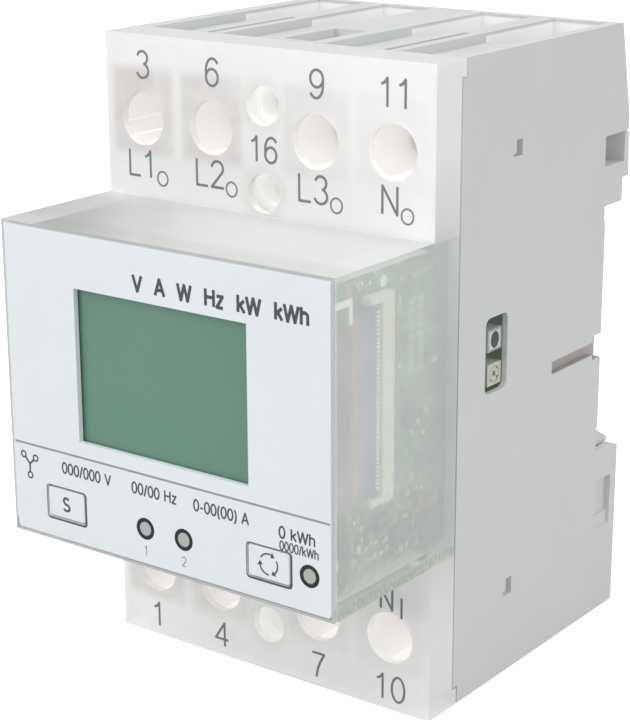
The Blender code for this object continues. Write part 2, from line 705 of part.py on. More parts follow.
def build_current_path():
    narrow, wide = BAR_TAPER_Z
    top, bottom = TERMINAL_Z[1] + BAR_REACH, -TERMINAL_Z[-1] - BAR_REACH
    half = [
        (BAR_WIDE, top), (BAR_WIDE, wide), (BAR_NARROW, narrow), (BAR_NARROW, -narrow), (BAR_WIDE, -wide),
        (BAR_WIDE, bottom)]
    for phase, x in PHASES:
        outline = [(x + u, v) for u, v in half] + [(x - u, v) for u, v in reversed(half)]
        paint(plate("busbar_" + phase, outline, BAR_Y), (0.75, 0.42, 0.26), 0.3, metallic=1.0)
    middle = sum(BAR_Y) / 2
    for phase, x in PHASES[:3]:
        ring = upright_cylinder("current_transformer_" + phase, RING_R, x, middle, around(0, RING_HALF_L))
        cut(ring, upright_cylinder("bar_opening", RING_BORE_R, x, middle, around(0, RING_HALF_L + THROUGH), 24))
        paint(ring, (0.05, 0.12, 0.30), 0.45)
        smooth(ring)


def build_terminals():
    for number, x, side in TERMINALS:
        z = TERMINAL_Z[side] * side
        cage = box("terminal_cage_" + number, around(x, CAGE_HALF_W), CAGE_Y, around(z, CAGE_HALF_L))
        cut(
            cage,
            box("wire_space", around(x, CAGE_HALF_W - CAGE_WALL), CAGE_SPACE_Y, around(z, CAGE_HALF_L + THROUGH)),
            cylinder("screw_thread", SCREW_R + FIT, x, (CAGE_Y[0] - THROUGH, CAGE_SPACE_Y[0] + OVERLAP), z, 24),
        )
        paint(cage, (0.72, 0.72, 0.70), 0.3, metallic=1.0)
        build_terminal_screw("terminal_screw_" + number, x, z)


def build_terminal_screw(name, x, z):
    head, end = -SCREW_HEAD_FRONT, -SCREW_END
    screw = turned(name, [
        (0, head), (SCREW_HEAD_R - SCREW_CHAMFER, head), (SCREW_HEAD_R, head - SCREW_CHAMFER),
        (SCREW_HEAD_R, head - SCREW_HEAD_L), (SCREW_R, head - SCREW_HEAD_L), (SCREW_R, end + SCREW_POINT),
        (SCREW_R - SCREW_POINT, end), (0, end)], x, z)
    drive = (SCREW_HEAD_FRONT - OVERLAP, SCREW_HEAD_FRONT + DRIVE_DEPTH)
    cut(
        screw,
        box("drive_slot", around(x, DRIVE_SLOT_HALF_L), drive, around(z, DRIVE_HALF_W)),
        box("drive_cross", around(x, DRIVE_HALF_W), drive, around(z, DRIVE_CROSS_HALF_L)),
    )
    paint(screw, (0.68, 0.68, 0.68), 0.3, metallic=1.0)
    smooth(screw)


def build_auxiliary_terminals():
    for side, end in ((1, "top"), (-1, "bottom")):
        block = box("aux_block_" + end, around(AUX_X, AUX_HALF_W), AUX_BLOCK_Y,
                    mirrored((AUX_FLOOR + FIT, CHAMBER_ROOF - FIT), side))
        for row, distance in zip(AUX_ROWS, AUX_Z[side]):
            cavity_front, bar_front = AUX_ROWS[row]
            z = distance * side
            bar_rear = bar_front + AUX_CONTACT_T
            wire = (bar_rear, bar_rear + AUX_WIRE_SPACE)
            head_floor = AUX_SCREW_FRONT + AUX_HEAD_L + FIT
            cut(
                block,
                cylinder("head_well", AUX_HEAD_R + FIT, AUX_X, (AUX_BLOCK_Y[0] - THROUGH, head_floor), z, 20),
                cylinder("shank_hole", AUX_SHANK_R + FIT, AUX_X, (head_floor - FIT, cavity_front + FIT), z, 16),
                box("clamp_cavity", around(AUX_X, AUX_CLAMP_HALF_W + FIT), (cavity_front, wire[1] + THROUGH),
                    around(z, AUX_CLAMP_HALF_L + SHANK_PLAY)),
                box("wire_tunnel", around(AUX_X, AUX_WIRE_SPACE / 2), wire,
                    mirrored((distance, CHAMBER_ROOF + THROUGH), side)),
            )
            join(block, box("contact", around(AUX_X, AUX_SHANK_R), (bar_front, bar_rear),
                            around(z, AUX_CLAMP_HALF_L + AUX_CLAMP_WALL)))
            build_auxiliary_clamp(end + "_" + row, z, bar_front, wire)
        paint(block, (0.80, 0.80, 0.78), 0.5)


def build_auxiliary_clamp(place, z, bar_front, wire):
    screw_end = bar_front - 0.25
    clamp = box("aux_clamp_" + place, around(AUX_X, AUX_CLAMP_HALF_W),
                (bar_front - FIT - 2 * SHANK_PLAY, wire[1] + AUX_CLAMP_WALL), around(z, AUX_CLAMP_HALF_L))
    cut(
        clamp,
        box("wire_space", around(AUX_X, AUX_CLAMP_HALF_W - AUX_CLAMP_WALL), (bar_front - FIT, wire[1]),
            around(z, AUX_CLAMP_HALF_L + THROUGH)),
        cylinder("screw_thread", AUX_SHANK_R + FIT, AUX_X, (bar_front - 2 * THROUGH, bar_front), z, 16),
    )
    paint(clamp, (0.72, 0.72, 0.70), 0.3, metallic=1.0)
    front, edge = -AUX_SCREW_FRONT, 0.2
    screw = turned("aux_screw_" + place, [
        (0, front), (AUX_HEAD_R - edge, front), (AUX_HEAD_R, front - edge), (AUX_HEAD_R, front - AUX_HEAD_L),
        (AUX_SHANK_R, front - AUX_HEAD_L), (AUX_SHANK_R, -screw_end), (0, -screw_end)], AUX_X, z, 16)
    slot_y = (AUX_SCREW_FRONT - OVERLAP, AUX_SCREW_FRONT + AUX_HEAD_L / 2)
    cut(screw, box("drive_slot", around(AUX_X, AUX_HEAD_R - SCREW_CHAMFER), slot_y, around(z, DRIVE_HALF_W / 2)))
    paint(screw, (0.68, 0.68, 0.68), 0.3, metallic=1.0)
    smooth(screw)


# ---------------------------------------------------------------- rail clip

def build_din_clip():
    nose = CLIP_NOSE + [(CLIP_Y[1], CLIP_LOW), (CLIP_Y[0], CLIP_LOW)]
    clip = side_profile("din_clip", nose, (-CLIP_HALF_W, CLIP_HALF_W))
    tongue_z = (-HALF_H + FIT, CLIP_LOW + SHANK_PLAY)
    join(clip, box("tongue", around(0, TONGUE_HALF_W), TONGUE_Y, tongue_z))
    cut(clip, box("pull_slot", around(0, TONGUE_PULL_HALF_W), (0, Y_REAR), TONGUE_PULL_Z))
    return paint(clip, (0.80, 0.80, 0.79), 0.5)


# ---------------------------------------------------------------- assembly

for old in list(bpy.data.objects):
    bpy.data.objects.remove(old, do_unlink=True)

parts = make_collection("smart_electric_meter")
cutters = make_collection("cutters")

build_rear_housing()
build_front_cover()
build_front_panel()
build_display()
build_keys()
build_lights()
build_boards()
build_ribbon()
build_infrared_parts()
build_power_parts()
build_current_path()
build_terminals()
build_auxiliary_terminals()
build_din_clip()
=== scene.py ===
"""Looks of a three-module electricity meter for a DIN rail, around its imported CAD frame.

Metres, X to the right, the front faces -Y, Z up. Local sizes are written in millimetres
and turned into metres with MM. Colours are linear red, green and blue.
"""
import json
import math
import random
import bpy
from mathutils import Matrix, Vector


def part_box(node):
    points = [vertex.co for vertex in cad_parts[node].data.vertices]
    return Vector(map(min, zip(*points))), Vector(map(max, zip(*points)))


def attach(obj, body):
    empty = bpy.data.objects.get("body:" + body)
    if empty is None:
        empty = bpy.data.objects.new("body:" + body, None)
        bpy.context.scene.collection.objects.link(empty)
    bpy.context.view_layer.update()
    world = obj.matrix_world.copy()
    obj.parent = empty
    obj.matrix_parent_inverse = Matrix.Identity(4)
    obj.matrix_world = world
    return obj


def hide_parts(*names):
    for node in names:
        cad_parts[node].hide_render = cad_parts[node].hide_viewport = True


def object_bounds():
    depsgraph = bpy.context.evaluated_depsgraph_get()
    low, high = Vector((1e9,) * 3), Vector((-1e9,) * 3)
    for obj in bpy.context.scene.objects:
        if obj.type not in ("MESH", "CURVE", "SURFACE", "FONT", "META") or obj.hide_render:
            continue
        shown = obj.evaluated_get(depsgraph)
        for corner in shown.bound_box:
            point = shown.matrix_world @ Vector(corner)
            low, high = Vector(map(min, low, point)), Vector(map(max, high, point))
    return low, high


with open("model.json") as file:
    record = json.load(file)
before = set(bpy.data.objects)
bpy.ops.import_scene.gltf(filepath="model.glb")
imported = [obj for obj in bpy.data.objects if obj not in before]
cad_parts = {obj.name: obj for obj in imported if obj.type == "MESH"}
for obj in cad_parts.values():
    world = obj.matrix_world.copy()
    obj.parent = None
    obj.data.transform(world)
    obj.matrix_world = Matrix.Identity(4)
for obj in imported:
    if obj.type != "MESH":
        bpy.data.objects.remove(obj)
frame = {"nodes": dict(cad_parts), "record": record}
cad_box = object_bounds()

from types import SimpleNamespace

import bmesh
import bpy
from mathutils import Matrix, Vector

MM = 0.001
NODES = frame["nodes"]
CASE = "case"
RAISED = 0.004 * MM      # gap under a printed mark
INK = 0.02 * MM          # thickness of a printed mark

TERMINALS_TOP = ["3", "6", "9", "11"]
TERMINALS_BOTTOM = ["1", "4", "7", "10"]
TERMINALS = TERMINALS_TOP + TERMINALS_BOTTOM
AUX_PLACES = ["top_outer", "top_inner", "bottom_outer", "bottom_inner"]
PHASES = ["L1", "L2", "L3"]
LIGHT_PIPES = ["led_pipe_1", "led_pipe_2", "pulse_pipe"]


# ---------------- places from the frame

def low(node):
    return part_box(node)[0]


def high(node):
    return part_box(node)[1]


def centre(node):
    lowest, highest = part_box(node)
    return (lowest + highest) / 2


FACE_Y = low("front_panel").y
TERMINAL_Y = next(m for m in frame["record"]["mounts"] if m["name"] == "shoulder_face")["pos_m"][1]
BOARD_X = high("side_board").x
BLOCK_HALF = 22 * MM     # half the height of the front block


# ---------------- looks of the materials

class Nodes:
    """A node tree, with short calls for the nodes that the looks and the room share."""

    def __init__(self, tree):
        self.tree = tree

    def add(self, kind, inputs=None, **settings):
        node = self.tree.nodes.new("ShaderNode" + kind)
        for key, value in settings.items():
            setattr(node, key, value)
        for key, value in (inputs or {}).items():
            self.feed(node.inputs[key], value)
        return node

    def feed(self, socket, value):
        if isinstance(value, bpy.types.NodeSocket):
            self.tree.links.new(value, socket)
        else:
            socket.default_value = value

    def range(self, value, low_in, high_in, low_out, high_out):
        """low_out at low_in and high_out at high_in, in a straight line between."""
        inputs = {"Value": value, "From Min": low_in, "From Max": high_in,
                  "To Min": low_out, "To Max": high_out}
        return self.add("MapRange", inputs).outputs["Result"]

    def step(self, value, low_in, high_in):
        """0 at low_in and 1 at high_in, smooth between; low_in may be the larger."""
        node = self.add("MapRange", {"Value": value, "From Min": low_in, "From Max": high_in},
                        interpolation_type="SMOOTHSTEP")
        return node.outputs["Result"]

    def beyond(self, value, start, end):
        """0 at start and 1 at end, both in millimetres, smooth between; it may run either way."""
        return self.step(value, start * MM, end * MM)

    def spread(self, noise, lowest, highest):
        """Stretches noise, most of which lies between 0.3 and 0.7, over a range."""
        return self.range(noise, 0.3, 0.7, lowest, highest)

    def math(self, operation, a, b=0.0):
        node = self.add("Math", operation=operation)
        self.feed(node.inputs[0], a)
        self.feed(node.inputs[1], b)
        return node.outputs[0]

    def size(self, value):
        """The value without its sign."""
        return self.math("ABSOLUTE", value)

    def every(self, *shares):
        """The product, which is 1 only where every share is 1."""
        product = shares[0]
        for share in shares[1:]:
            product = self.math("MULTIPLY", product, share)
        return product

    def most(self, *values):
        """The largest of the values."""
        largest = values[0]
        for value in values[1:]:
            largest = self.math("MAXIMUM", largest, value)
        return largest

    def blend(self, share, first, second):
        """A colour between two colours, or two sockets."""
        node = self.add("Mix", data_type="RGBA")
        self.feed(node.inputs["Factor"], share)
        for socket, value in ((node.inputs[6], first), (node.inputs[7], second)):
            self.feed(socket, value if isinstance(value, bpy.types.NodeSocket) else (*value, 1.0))
        return node.outputs[2]

    def between(self, share, first, second):
        """A number between two numbers, or two sockets."""
        node = self.add("Mix", data_type="FLOAT")
        for socket, value in ((0, share), (2, first), (3, second)):
            self.feed(node.inputs[socket], value)
        return node.outputs[0]


class Look(Nodes):
    """One material, with its coordinates and its Principled node."""

    def __init__(self, name):
        self.material = bpy.data.materials.new(name)
        self.material.use_nodes = True
        super().__init__(self.material.node_tree)
        self.shader = self.tree.nodes["Principled BSDF"]
        self.output = self.tree.nodes["Material Output"]
        self.place = self.add("TexCoord").outputs["Object"]

    def set(self, **inputs):
        """Feeds the Principled node; an underscore in a name stands for a space."""
        for key, value in inputs.items():
            self.feed(self.shader.inputs[key.replace("_", " ")], value)

    def noise(self, size, detail=2.0, place=None):
        """Noise from 0 to 1 with features of this size in metres."""
        inputs = {"Vector": place or self.place, "Scale": 1 / size, "Detail": detail}
        return self.add("TexNoise", inputs).outputs["Fac"]

    def stretched(self, x=1.0, y=1.0, z=1.0):
        """The object's coordinates with each axis scaled, for patterns that run one way."""
        return self.add("Mapping", {"Vector": self.place, "Scale": (x, y, z)}).outputs["Vector"]

    def axes(self, vector=None):
        """X, Y and Z of a vector, or of the object's coordinates."""
        return tuple(self.add("SeparateXYZ", {"Vector": vector or self.place}).outputs)

    def facing(self):
        """The surface normal's X, Y and Z."""
        return self.axes(self.add("NewGeometry").outputs["Normal"])

    def bump(self, height, depth):
        """Raises the surface by up to depth metres where height is 1."""
        node = self.add("Bump", {"Height": height, "Distance": depth})
        self.feed(self.shader.inputs["Normal"], node.outputs["Normal"])
        return self


def shade(colour, factor):
    return tuple(min(1.0, channel * factor) for channel in colour)


def moulded(name, colour, roughness=0.5, grain=0.25 * MM, depth=0.004 * MM, glow=0.0):
    """Moulded plastic: eroded grain, slow drift in tone and in gloss, and a painted glow that stands in for
    light soaking through.
    """
    look = Look(name)
    drift = look.noise(14 * MM, 3.0)
    look.set(
        Base_Color=look.blend(drift, shade(colour, 0.97), shade(colour, 1.03)),
        Roughness=look.spread(look.noise(3 * MM, 3.0), roughness - 0.05, roughness + 0.05),
        Specular_IOR_Level=0.4,
        Emission_Color=(*colour, 1.0),
        # painted light: emission, not a lamp
        Emission_Strength=glow,
    )
    return look.bump(look.noise(grain, 3.0), depth).material


def metal(name, colour, roughness=0.3, streak=(1, 1, 1), depth=0.001 * MM):
    """Plated or rolled metal: fine streaks one way, cloudy tone from the plating bath."""
    look = Look(name)
    streaks = look.noise(0.2 * MM, 4.0, look.stretched(*streak))
    cloud = look.noise(2.5 * MM, 3.0)
    look.set(
        Base_Color=look.blend(cloud, shade(colour, 0.88), shade(colour, 1.08)),
        Metallic=1.0,
        Roughness=look.range(streaks, 0.2, 0.8, roughness - 0.08, roughness + 0.12),
    )
    return look.bump(streaks, depth).material


def ink(name, colour):
    """Screen-printed ink: satin, slightly uneven in density."""
    look = Look(name)
    look.set(
        Base_Color=look.blend(look.noise(0.4 * MM), shade(colour, 0.9), shade(colour, 1.15)),
        Roughness=0.45,
    )
    return look.material


def cover_look():
    """Clear cover: hazy over the boards, milky over the terminals, clearer at the front edge of its top.

    The haze hides what is behind it, but it scatters the light on and hardly keeps it out.
    """
    look = Look("cover_clear_and_milky")
    zones = cover_zones(look)
    clear, milky = cover_clear_tone(look, zones), cover_milky_tone(look, zones)
    look.set(
        Base_Color=look.blend(zones.over_terminals, clear, milky),
        Roughness=look.spread(look.noise(4 * MM, 3.0), 0.28, 0.38),
        Specular_IOR_Level=0.5,
        Emission_Color=(1.0, 0.985, 0.98, 1.0),
        # painted glow on the cover, in place of light soaking through it
        Emission_Strength=cover_painted_glow(look, zones),
    )
    look.bump(look.noise(1.2 * MM), 0.004 * MM)
    through = look.add("BsdfTransparent", {"Color": (0.97, 0.985, 0.975, 1.0)})
    mix = look.add("MixShader", {"Fac": cover_haze(look, zones)})
    look.feed(mix.inputs[1], through.outputs[0])
    look.feed(mix.inputs[2], look.shader.outputs[0])
    look.feed(look.output.inputs["Surface"], mix.outputs[0])
    return look.material


def cover_zones(look):
    """Coordinates, and shares that are 1 in a zone of the cover and 0 outside it."""
    x, y, z = look.axes()
    facing_x, facing_y, facing_z = look.facing()
    width, height = look.size(x), look.size(z)
    milky = look.step(height, BLOCK_HALF - 0.6 * MM, BLOCK_HALF)
    behind_face = look.step(y, TERMINAL_Y - 0.3 * MM, TERMINAL_Y - 0.1 * MM)
    inside_walls = look.every(look.beyond(width, 25.4, 25.1), look.beyond(height, 41.8, 41.5))
    under_lid = look.step(y, TERMINAL_Y + 1.3 * MM, TERMINAL_Y + 1.5 * MM)
    at_front = look.step(y, FACE_Y + 0.35 * MM, FACE_Y + 0.25 * MM)
    in_block = look.step(height, BLOCK_HALF + 0.5 * MM, BLOCK_HALF + 0.4 * MM)
    return SimpleNamespace(
        x=x, y=y, z=z, height=height,
        facing_x=facing_x, facing_y=facing_y, facing_z=facing_z,
        over_terminals=look.every(milky, behind_face),
        top_or_bottom=look.step(look.size(facing_z), 0.6, 0.8),
        inside_walls=inside_walls,
        snap_arm=look.every(inside_walls, under_lid, milky),
        front_rim=look.every(at_front, in_block),
        floor_edge=look.every(look.beyond(z, -19.7, -20.6), look.step(facing_x, 0.5, 0.7)),
    )


def cover_haze(look, zones):
    """The share of what lies behind that the cover hides; light on its way to the inside meets less."""
    side = look.spread(look.noise(9 * MM, 4.0), 0.355, 0.415)
    lower_front = look.every(look.beyond(zones.z, -7, -14), look.beyond(zones.y, -40, -47))
    side = look.math("SUBTRACT", side, look.every(lower_front, 0.035))
    behind_front = look.step(zones.y, FACE_Y + 3.0 * MM, FACE_Y + 6.5 * MM)
    top = look.range(behind_front, 0.0, 1.0, 0.66, 0.80)
    milk = look.spread(look.noise(7 * MM), 0.80, 0.86)
    haze = look.between(zones.over_terminals, look.between(zones.top_or_bottom, side, top), milk)
    rim_face = look.every(zones.front_rim, look.step(zones.facing_y, -0.5, -0.7))
    for zone, zone_haze in ((rim_face, 0.9), (zones.snap_arm, 1.0), (zones.floor_edge, 0.8)):
        haze = look.between(zone, haze, zone_haze)
    path = look.add("LightPath").outputs
    onward = look.most(path["Is Shadow Ray"], path["Is Diffuse Ray"])
    return look.every(haze, look.range(onward, 0.0, 1.0, 1.0, 0.35))


def cover_milky_tone(look, zones):
    """Over the terminals: painted shade over the chambers and on the sides near the block; greyer at the
    roof's edge.
    """
    milk, painted_chamber_shade, edge_grey = (0.93, 0.925, 0.915), (0.73, 0.69, 0.675), (0.68, 0.665, 0.655)
    tone = look.blend(chamber_shadow(look, zones.x, zones.z), milk, painted_chamber_shade)
    # Painted shade: the right side is darker near the block.
    painted_side_shade = look.range(zones.height, BLOCK_HALF, 33 * MM, 0.74, 0.90)
    side_tone = look.add("VectorMath", {0: tone, "Scale": painted_side_shade}, operation="SCALE").outputs["Vector"]
    tone = look.blend(look.step(zones.facing_x, 0.6, 0.8), tone, side_tone)
    roof_edge = look.every(look.beyond(zones.height, 43.0, 43.3), look.step(zones.facing_z, 0.5, 0.7))
    return look.blend(roof_edge, tone, edge_grey)


def cover_clear_tone(look, zones):
    """Over the boards: greenish white sides, a top with painted shade from the display at its left front, a
    speckled floor.
    """
    side, rim_grey, rim_end = (0.885, 0.905, 0.885), (0.50, 0.505, 0.495), (0.78, 0.78, 0.77)
    top_painted_shade, top_light, top_back = (0.32, 0.32, 0.31), (0.75, 0.75, 0.745), (0.84, 0.84, 0.835)
    back_from_front = look.math("SUBTRACT", zones.y, FACE_Y)
    slanted = look.math("ADD", zones.x, look.every(back_from_front, 0.6))
    # Painted shade: the top darkens towards its left front.
    top = look.blend(look.beyond(slanted, -28, 10), top_painted_shade, top_light)
    near_wall = look.range(zones.y, TERMINAL_Y - 5 * MM, TERMINAL_Y, 0.0, 0.6)
    top = look.blend(near_wall, top, top_back)
    top = look.blend(look.beyond(zones.x, 22.6, 23.0), top, rim_end)
    bottom = look.every(zones.top_or_bottom, look.beyond(zones.z, -20.0, -20.3))
    speckle = look.step(look.noise(0.6 * MM), 0.42, 0.58)
    top = look.blend(bottom, top, look.blend(speckle, (0.36, 0.43, 0.38), (0.62, 0.66, 0.60)))
    tone = look.blend(zones.top_or_bottom, side, top)
    tone = look.blend(zones.front_rim, tone, rim_grey)
    mirrored = look.step(look.noise(0.45 * MM, 3.0, look.stretched(1.0, 1.0, 0.5)), 0.36, 0.64)
    mirrored_board = look.blend(mirrored, (0.42, 0.48, 0.43), (0.57, 0.61, 0.55))
    return look.blend(zones.floor_edge, tone, mirrored_board)


def cover_painted_glow(look, zones):
    """Painted glow that stands in for light soaking through the milky part: on its front, brighter on the
    walls of its holes where they face up or right, and on its snap arms.
    """
    in_front = look.every(zones.over_terminals, look.step(zones.facing_y, -0.6, -0.8))
    towards_right = look.range(zones.x, 0.0, 25 * MM, 0.01, 0.06)
    towards_block = look.range(zones.z, BLOCK_HALF, 27 * MM, 0.08, 0.0)
    upper = look.math("ADD", towards_right, towards_block)
    lower = look.range(zones.x, -15 * MM, 20 * MM, 0.12, 0.055)
    painted_front_glow = look.between(look.beyond(zones.z, -10, 10), lower, upper)
    sideways = look.step(look.size(zones.facing_y), 0.5, 0.3)
    hole_wall = look.every(sideways, zones.over_terminals, zones.inside_walls)
    painted_lit_crescent = look.range(look.math("ADD", zones.facing_x, zones.facing_z), -0.4, 1.4, 0.05, 0.3)
    painted_arm_glow = look.range(look.size(zones.facing_z), 0.1, 0.4, 0.34, 0.1)
    return look.most(
        look.every(zones.snap_arm, painted_arm_glow),
        look.every(in_front, painted_front_glow),
        look.every(hole_wall, painted_lit_crescent),
    )


def chamber_shadow(look, x, z):
    """Painted shade where the terminal chambers show through the milky cover, as soft squares round the
    holes.
    """
    shadow = 0.0
    for number in TERMINALS:
        middle = centre("terminal_screw_" + number)
        across = look.size(look.math("SUBTRACT", x, middle.x))
        upright = look.size(look.math("SUBTRACT", z, middle.z + 1.1 * MM))
        inside = look.every(look.beyond(across, 6.0, 4.4), look.beyond(upright, 6.8, 4.8))
        shadow = look.most(shadow, inside)
    for place in AUX_PLACES:
        middle = centre("aux_screw_" + place)
        hole = (middle.x, TERMINAL_Y, middle.z)
        away = look.add("VectorMath", {0: look.place, 1: hole}, operation="DISTANCE").outputs["Value"]
        halo = look.beyond(away, 4.6, 2.9)
        shadow = look.most(shadow, look.every(halo, 0.7))
    fading = look.range(x, -24 * MM, 20 * MM, 1.2, 0.25)
    return look.every(shadow, look.spread(look.noise(4 * MM), 0.5, 1.0), fading)


def housing_look():
    """Grey moulded case; the terminal chambers and wire pits are painted paler and given a painted glow, for
    the light that fills them.
    """
    look = Look("housing_grey")
    x, y, z = look.axes()
    width, height = look.size(x), look.size(z)
    in_pit = look.beyond(y, -16.9, -16.6)
    chamber_roof = look.beyond(height, 42.4, 42.2)
    pit_roof = look.beyond(height, 43.8, 43.4)
    hollow = look.every(
        look.beyond(width, 25.6, 25.3),
        look.between(in_pit, chamber_roof, pit_roof),
        look.step(height, BLOCK_HALF + 0.2 * MM, BLOCK_HALF + 0.5 * MM),
        look.beyond(y, 1.6, 1.3),
    )
    # Painted light: chamber floors that face up glow more, as if lit from above.
    painted_lit_floor = look.between(look.step(look.facing()[2], 0.2, 0.5), 0.18, 0.36)
    glow = look.between(look.beyond(y, -15.0, -22.0), 0.09, painted_lit_floor)
    # Painted light: the chambers and pits are painted paler than the grey case.
    pale = look.blend(in_pit, (0.90, 0.88, 0.87), (0.86, 0.86, 0.855))
    look.set(
        Base_Color=look.blend(hollow, housing_grey(look, width, y, z), pale),
        Roughness=look.spread(look.noise(3 * MM, 3.0), 0.5, 0.6),
        Specular_IOR_Level=0.35,
        Emission_Color=(1.0, 0.975, 0.97, 1.0),
        Emission_Strength=look.every(hollow, glow),
    )
    return look.bump(look.noise(0.25 * MM, 3.0), 0.004 * MM).material


def housing_grey(look, width, y, z):
    """Painted lighter towards the foot, for light bounced from the floor; painted shade, brownish, in the
    side slit; green on the ledge beside the boards.
    """
    drift = look.noise(14 * MM, 3.0)
    # Painted light: darker grey above, lighter grey towards the foot.
    upper = look.blend(drift, (0.595, 0.607, 0.603), (0.63, 0.643, 0.638))
    lower = look.blend(drift, (0.635, 0.648, 0.643), (0.67, 0.683, 0.678))
    grey = look.blend(look.range(z, 40 * MM, -40 * MM, 0.0, 1.0), upper, lower)
    # Painted shade: the side slit is darkened to a brownish grey.
    slit = look.every(
        look.beyond(width, 26.95, 26.8),
        look.beyond(look.size(look.math("ADD", z, 2.0 * MM)), 2.2, 2.0),
        look.beyond(y, -14.5, -14.3),
    )
    grey = look.blend(slit, grey, (0.46, 0.425, 0.41))
    ledge = look.every(
        look.step(look.size(z), BLOCK_HALF + 0.5 * MM, BLOCK_HALF + 0.2 * MM),
        look.beyond(width, 25.4, 25.2),
        look.beyond(y, -33.8, -34.2),
    )
    return look.blend(ledge, grey, (0.24, 0.31, 0.27))


def lcd_look():
    """Reflective display glass: green polariser with a soft drift and fine cell texture."""
    look = Look("lcd_green_glass")
    lowest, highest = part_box("lcd_panel")
    rise = look.range(look.axes()[2], lowest.z, highest.z, 0.0, 1.0)
    cells = look.noise(0.18 * MM, 1.0)
    green = look.blend(rise, (0.155, 0.290, 0.222), (0.172, 0.305, 0.238))
    clouded = look.blend(look.spread(look.noise(16 * MM), 0.0, 0.5), green, (0.150, 0.272, 0.210))
    look.set(
        Base_Color=look.blend(look.spread(cells, 0.0, 0.12), clouded, (0.10, 0.20, 0.15)),
        Roughness=0.3,
        Specular_IOR_Level=0.2,
    )
    return look.bump(cells, 0.0008 * MM).material


def board_look():
    """Green solder mask over copper pours and tracks, with the weave of the laminate; tan cut edges."""
    look = Look("circuit_board_green")
    y, z = look.axes()[1:]
    patches = look.step(look.noise(4.5 * MM, 1.0), 0.47, 0.53)
    weave = look.noise(0.35 * MM, 1.0)
    cells = look.add("TexVoronoi", {"Vector": look.place, "Scale": 1 / (2.2 * MM), "Randomness": 0.9},
                     feature="DISTANCE_TO_EDGE").outputs["Distance"]
    tracks = look.every(look.step(cells, 0.08, 0.05), 0.6)
    vias = look.add("TexVoronoi", {"Vector": look.place, "Scale": 1 / (1.9 * MM)}).outputs["Distance"]
    mask = look.blend(patches, (0.035, 0.12, 0.075), (0.055, 0.19, 0.11))
    mask = look.blend(tracks, mask, (0.11, 0.30, 0.19))
    mask = look.blend(look.step(vias, 0.13, 0.10), mask, (0.55, 0.60, 0.50))
    cut_edge = look.every(
        look.step(look.size(look.facing()[0]), 0.7, 0.9),
        look.beyond(z, -11.5, -9.5),
        look.beyond(y, -59.0, -59.2),
    )
    mask = look.blend(cut_edge, mask, (0.36, 0.20, 0.11))
    # Painted light: in the slot of the infrared parts the board is painted paler and greyer, with a faint
    # painted glow.
    in_slot = look.beyond(y, -34.8, -34.4)
    slot_painted_light_tone = look.blend(patches, (0.14, 0.19, 0.13), (0.22, 0.25, 0.22))
    look.set(
        Base_Color=look.blend(in_slot, mask, slot_painted_light_tone),
        Roughness=look.spread(weave, 0.26, 0.4),
        Emission_Color=(0.8, 1.0, 0.75, 1.0),
        Emission_Strength=look.every(in_slot, 0.07),
    )
    return look.bump(weave, 0.006 * MM).material


def film_look():
    """Flat cable: tan at the fold, grey-blue film, and a blue stiffener at the connector."""
    look = Look("ribbon_film")
    y = look.axes()[1]
    ripple = math.tau * 0.62 * MM
    turns = {"Vector": look.place, "Scale": math.tau / (20 * ripple), "Distortion": 0.4}
    wave = look.add("TexWave", turns, bands_direction="Z").outputs["Fac"]
    tan = look.blend(wave, (0.34, 0.17, 0.09), (0.42, 0.23, 0.13))
    film = look.blend(wave, (0.10, 0.11, 0.15), (0.17, 0.18, 0.22))
    colour = look.blend(look.beyond(y, -57.5, -57.2), tan, film)
    stiffened = look.beyond(y, -55.4, -55.1)
    look.set(Base_Color=look.blend(stiffened, colour, (0.035, 0.06, 0.24)), Roughness=0.3)
    return look.bump(wave, 0.02 * MM).material


def floor_look():
    """White paper sweep: clean white to the camera, and a moderate reflector to the meter."""
    look = Look("pale_floor")
    seen = look.add("LightPath").outputs["Is Camera Ray"]
    paper = look.blend(look.noise(0.3), (0.58, 0.58, 0.58), (0.62, 0.62, 0.62))
    look.set(
        Base_Color=look.blend(seen, paper, (0.90, 0.90, 0.90)),
        Roughness=0.9,
        Specular_IOR_Level=0.1,
        Emission_Color=(1.0, 1.0, 1.0, 1.0),
        Emission_Strength=look.every(seen, 0.5),
    )
    return look.material


def dress(material, *nodes):
    """Gives CAD nodes their material."""
    for node in nodes:
        materials = NODES[node].data.materials
        materials.clear()
        materials.append(material)


def soften(width, *nodes):
    """Rounds the edges of CAD nodes: welds the imported facets, dissolves flat seams, bevels."""
    for node in nodes:
        obj = NODES[node]
        weld = obj.modifiers.new("weld", "WELD")
        weld.merge_threshold = 0.001 * MM
        flat = obj.modifiers.new("flat_faces", "DECIMATE")
        flat.decimate_type = "DISSOLVE"
        flat.angle_limit = math.radians(0.5)
        bevel = obj.modifiers.new("soft_edges", "BEVEL")
        bevel.width = width
        bevel.segments = 2
        bevel.limit_method = "ANGLE"
        bevel.angle_limit = math.radians(40)


# ---------------- mesh tools

def show(name, data):
    """Puts a mesh, light or camera in the scene as an object."""
    obj = bpy.data.objects.new(name, data)
    bpy.context.scene.collection.objects.link(obj)
    return obj


def to_mesh(name, bm, *materials):
    """Turns a bmesh into a mesh, and frees it."""
    mesh = bpy.data.meshes.new(name)
    bm.to_mesh(mesh)
    bm.free()
    for material in materials:
        mesh.materials.append(material)
    return mesh


def finished(name, bm, material, body=CASE, smooth_angle=None):
    """Turns a bmesh into a shown piece that rides on a body."""
    bmesh.ops.recalc_face_normals(bm, faces=bm.faces)
    mesh = to_mesh(name, bm, material)
    if smooth_angle is not None:
        mesh.shade_smooth()
        mesh.set_sharp_from_angle(angle=math.radians(smooth_angle))
    obj = show(name, mesh)
    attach(obj, body)
    return obj


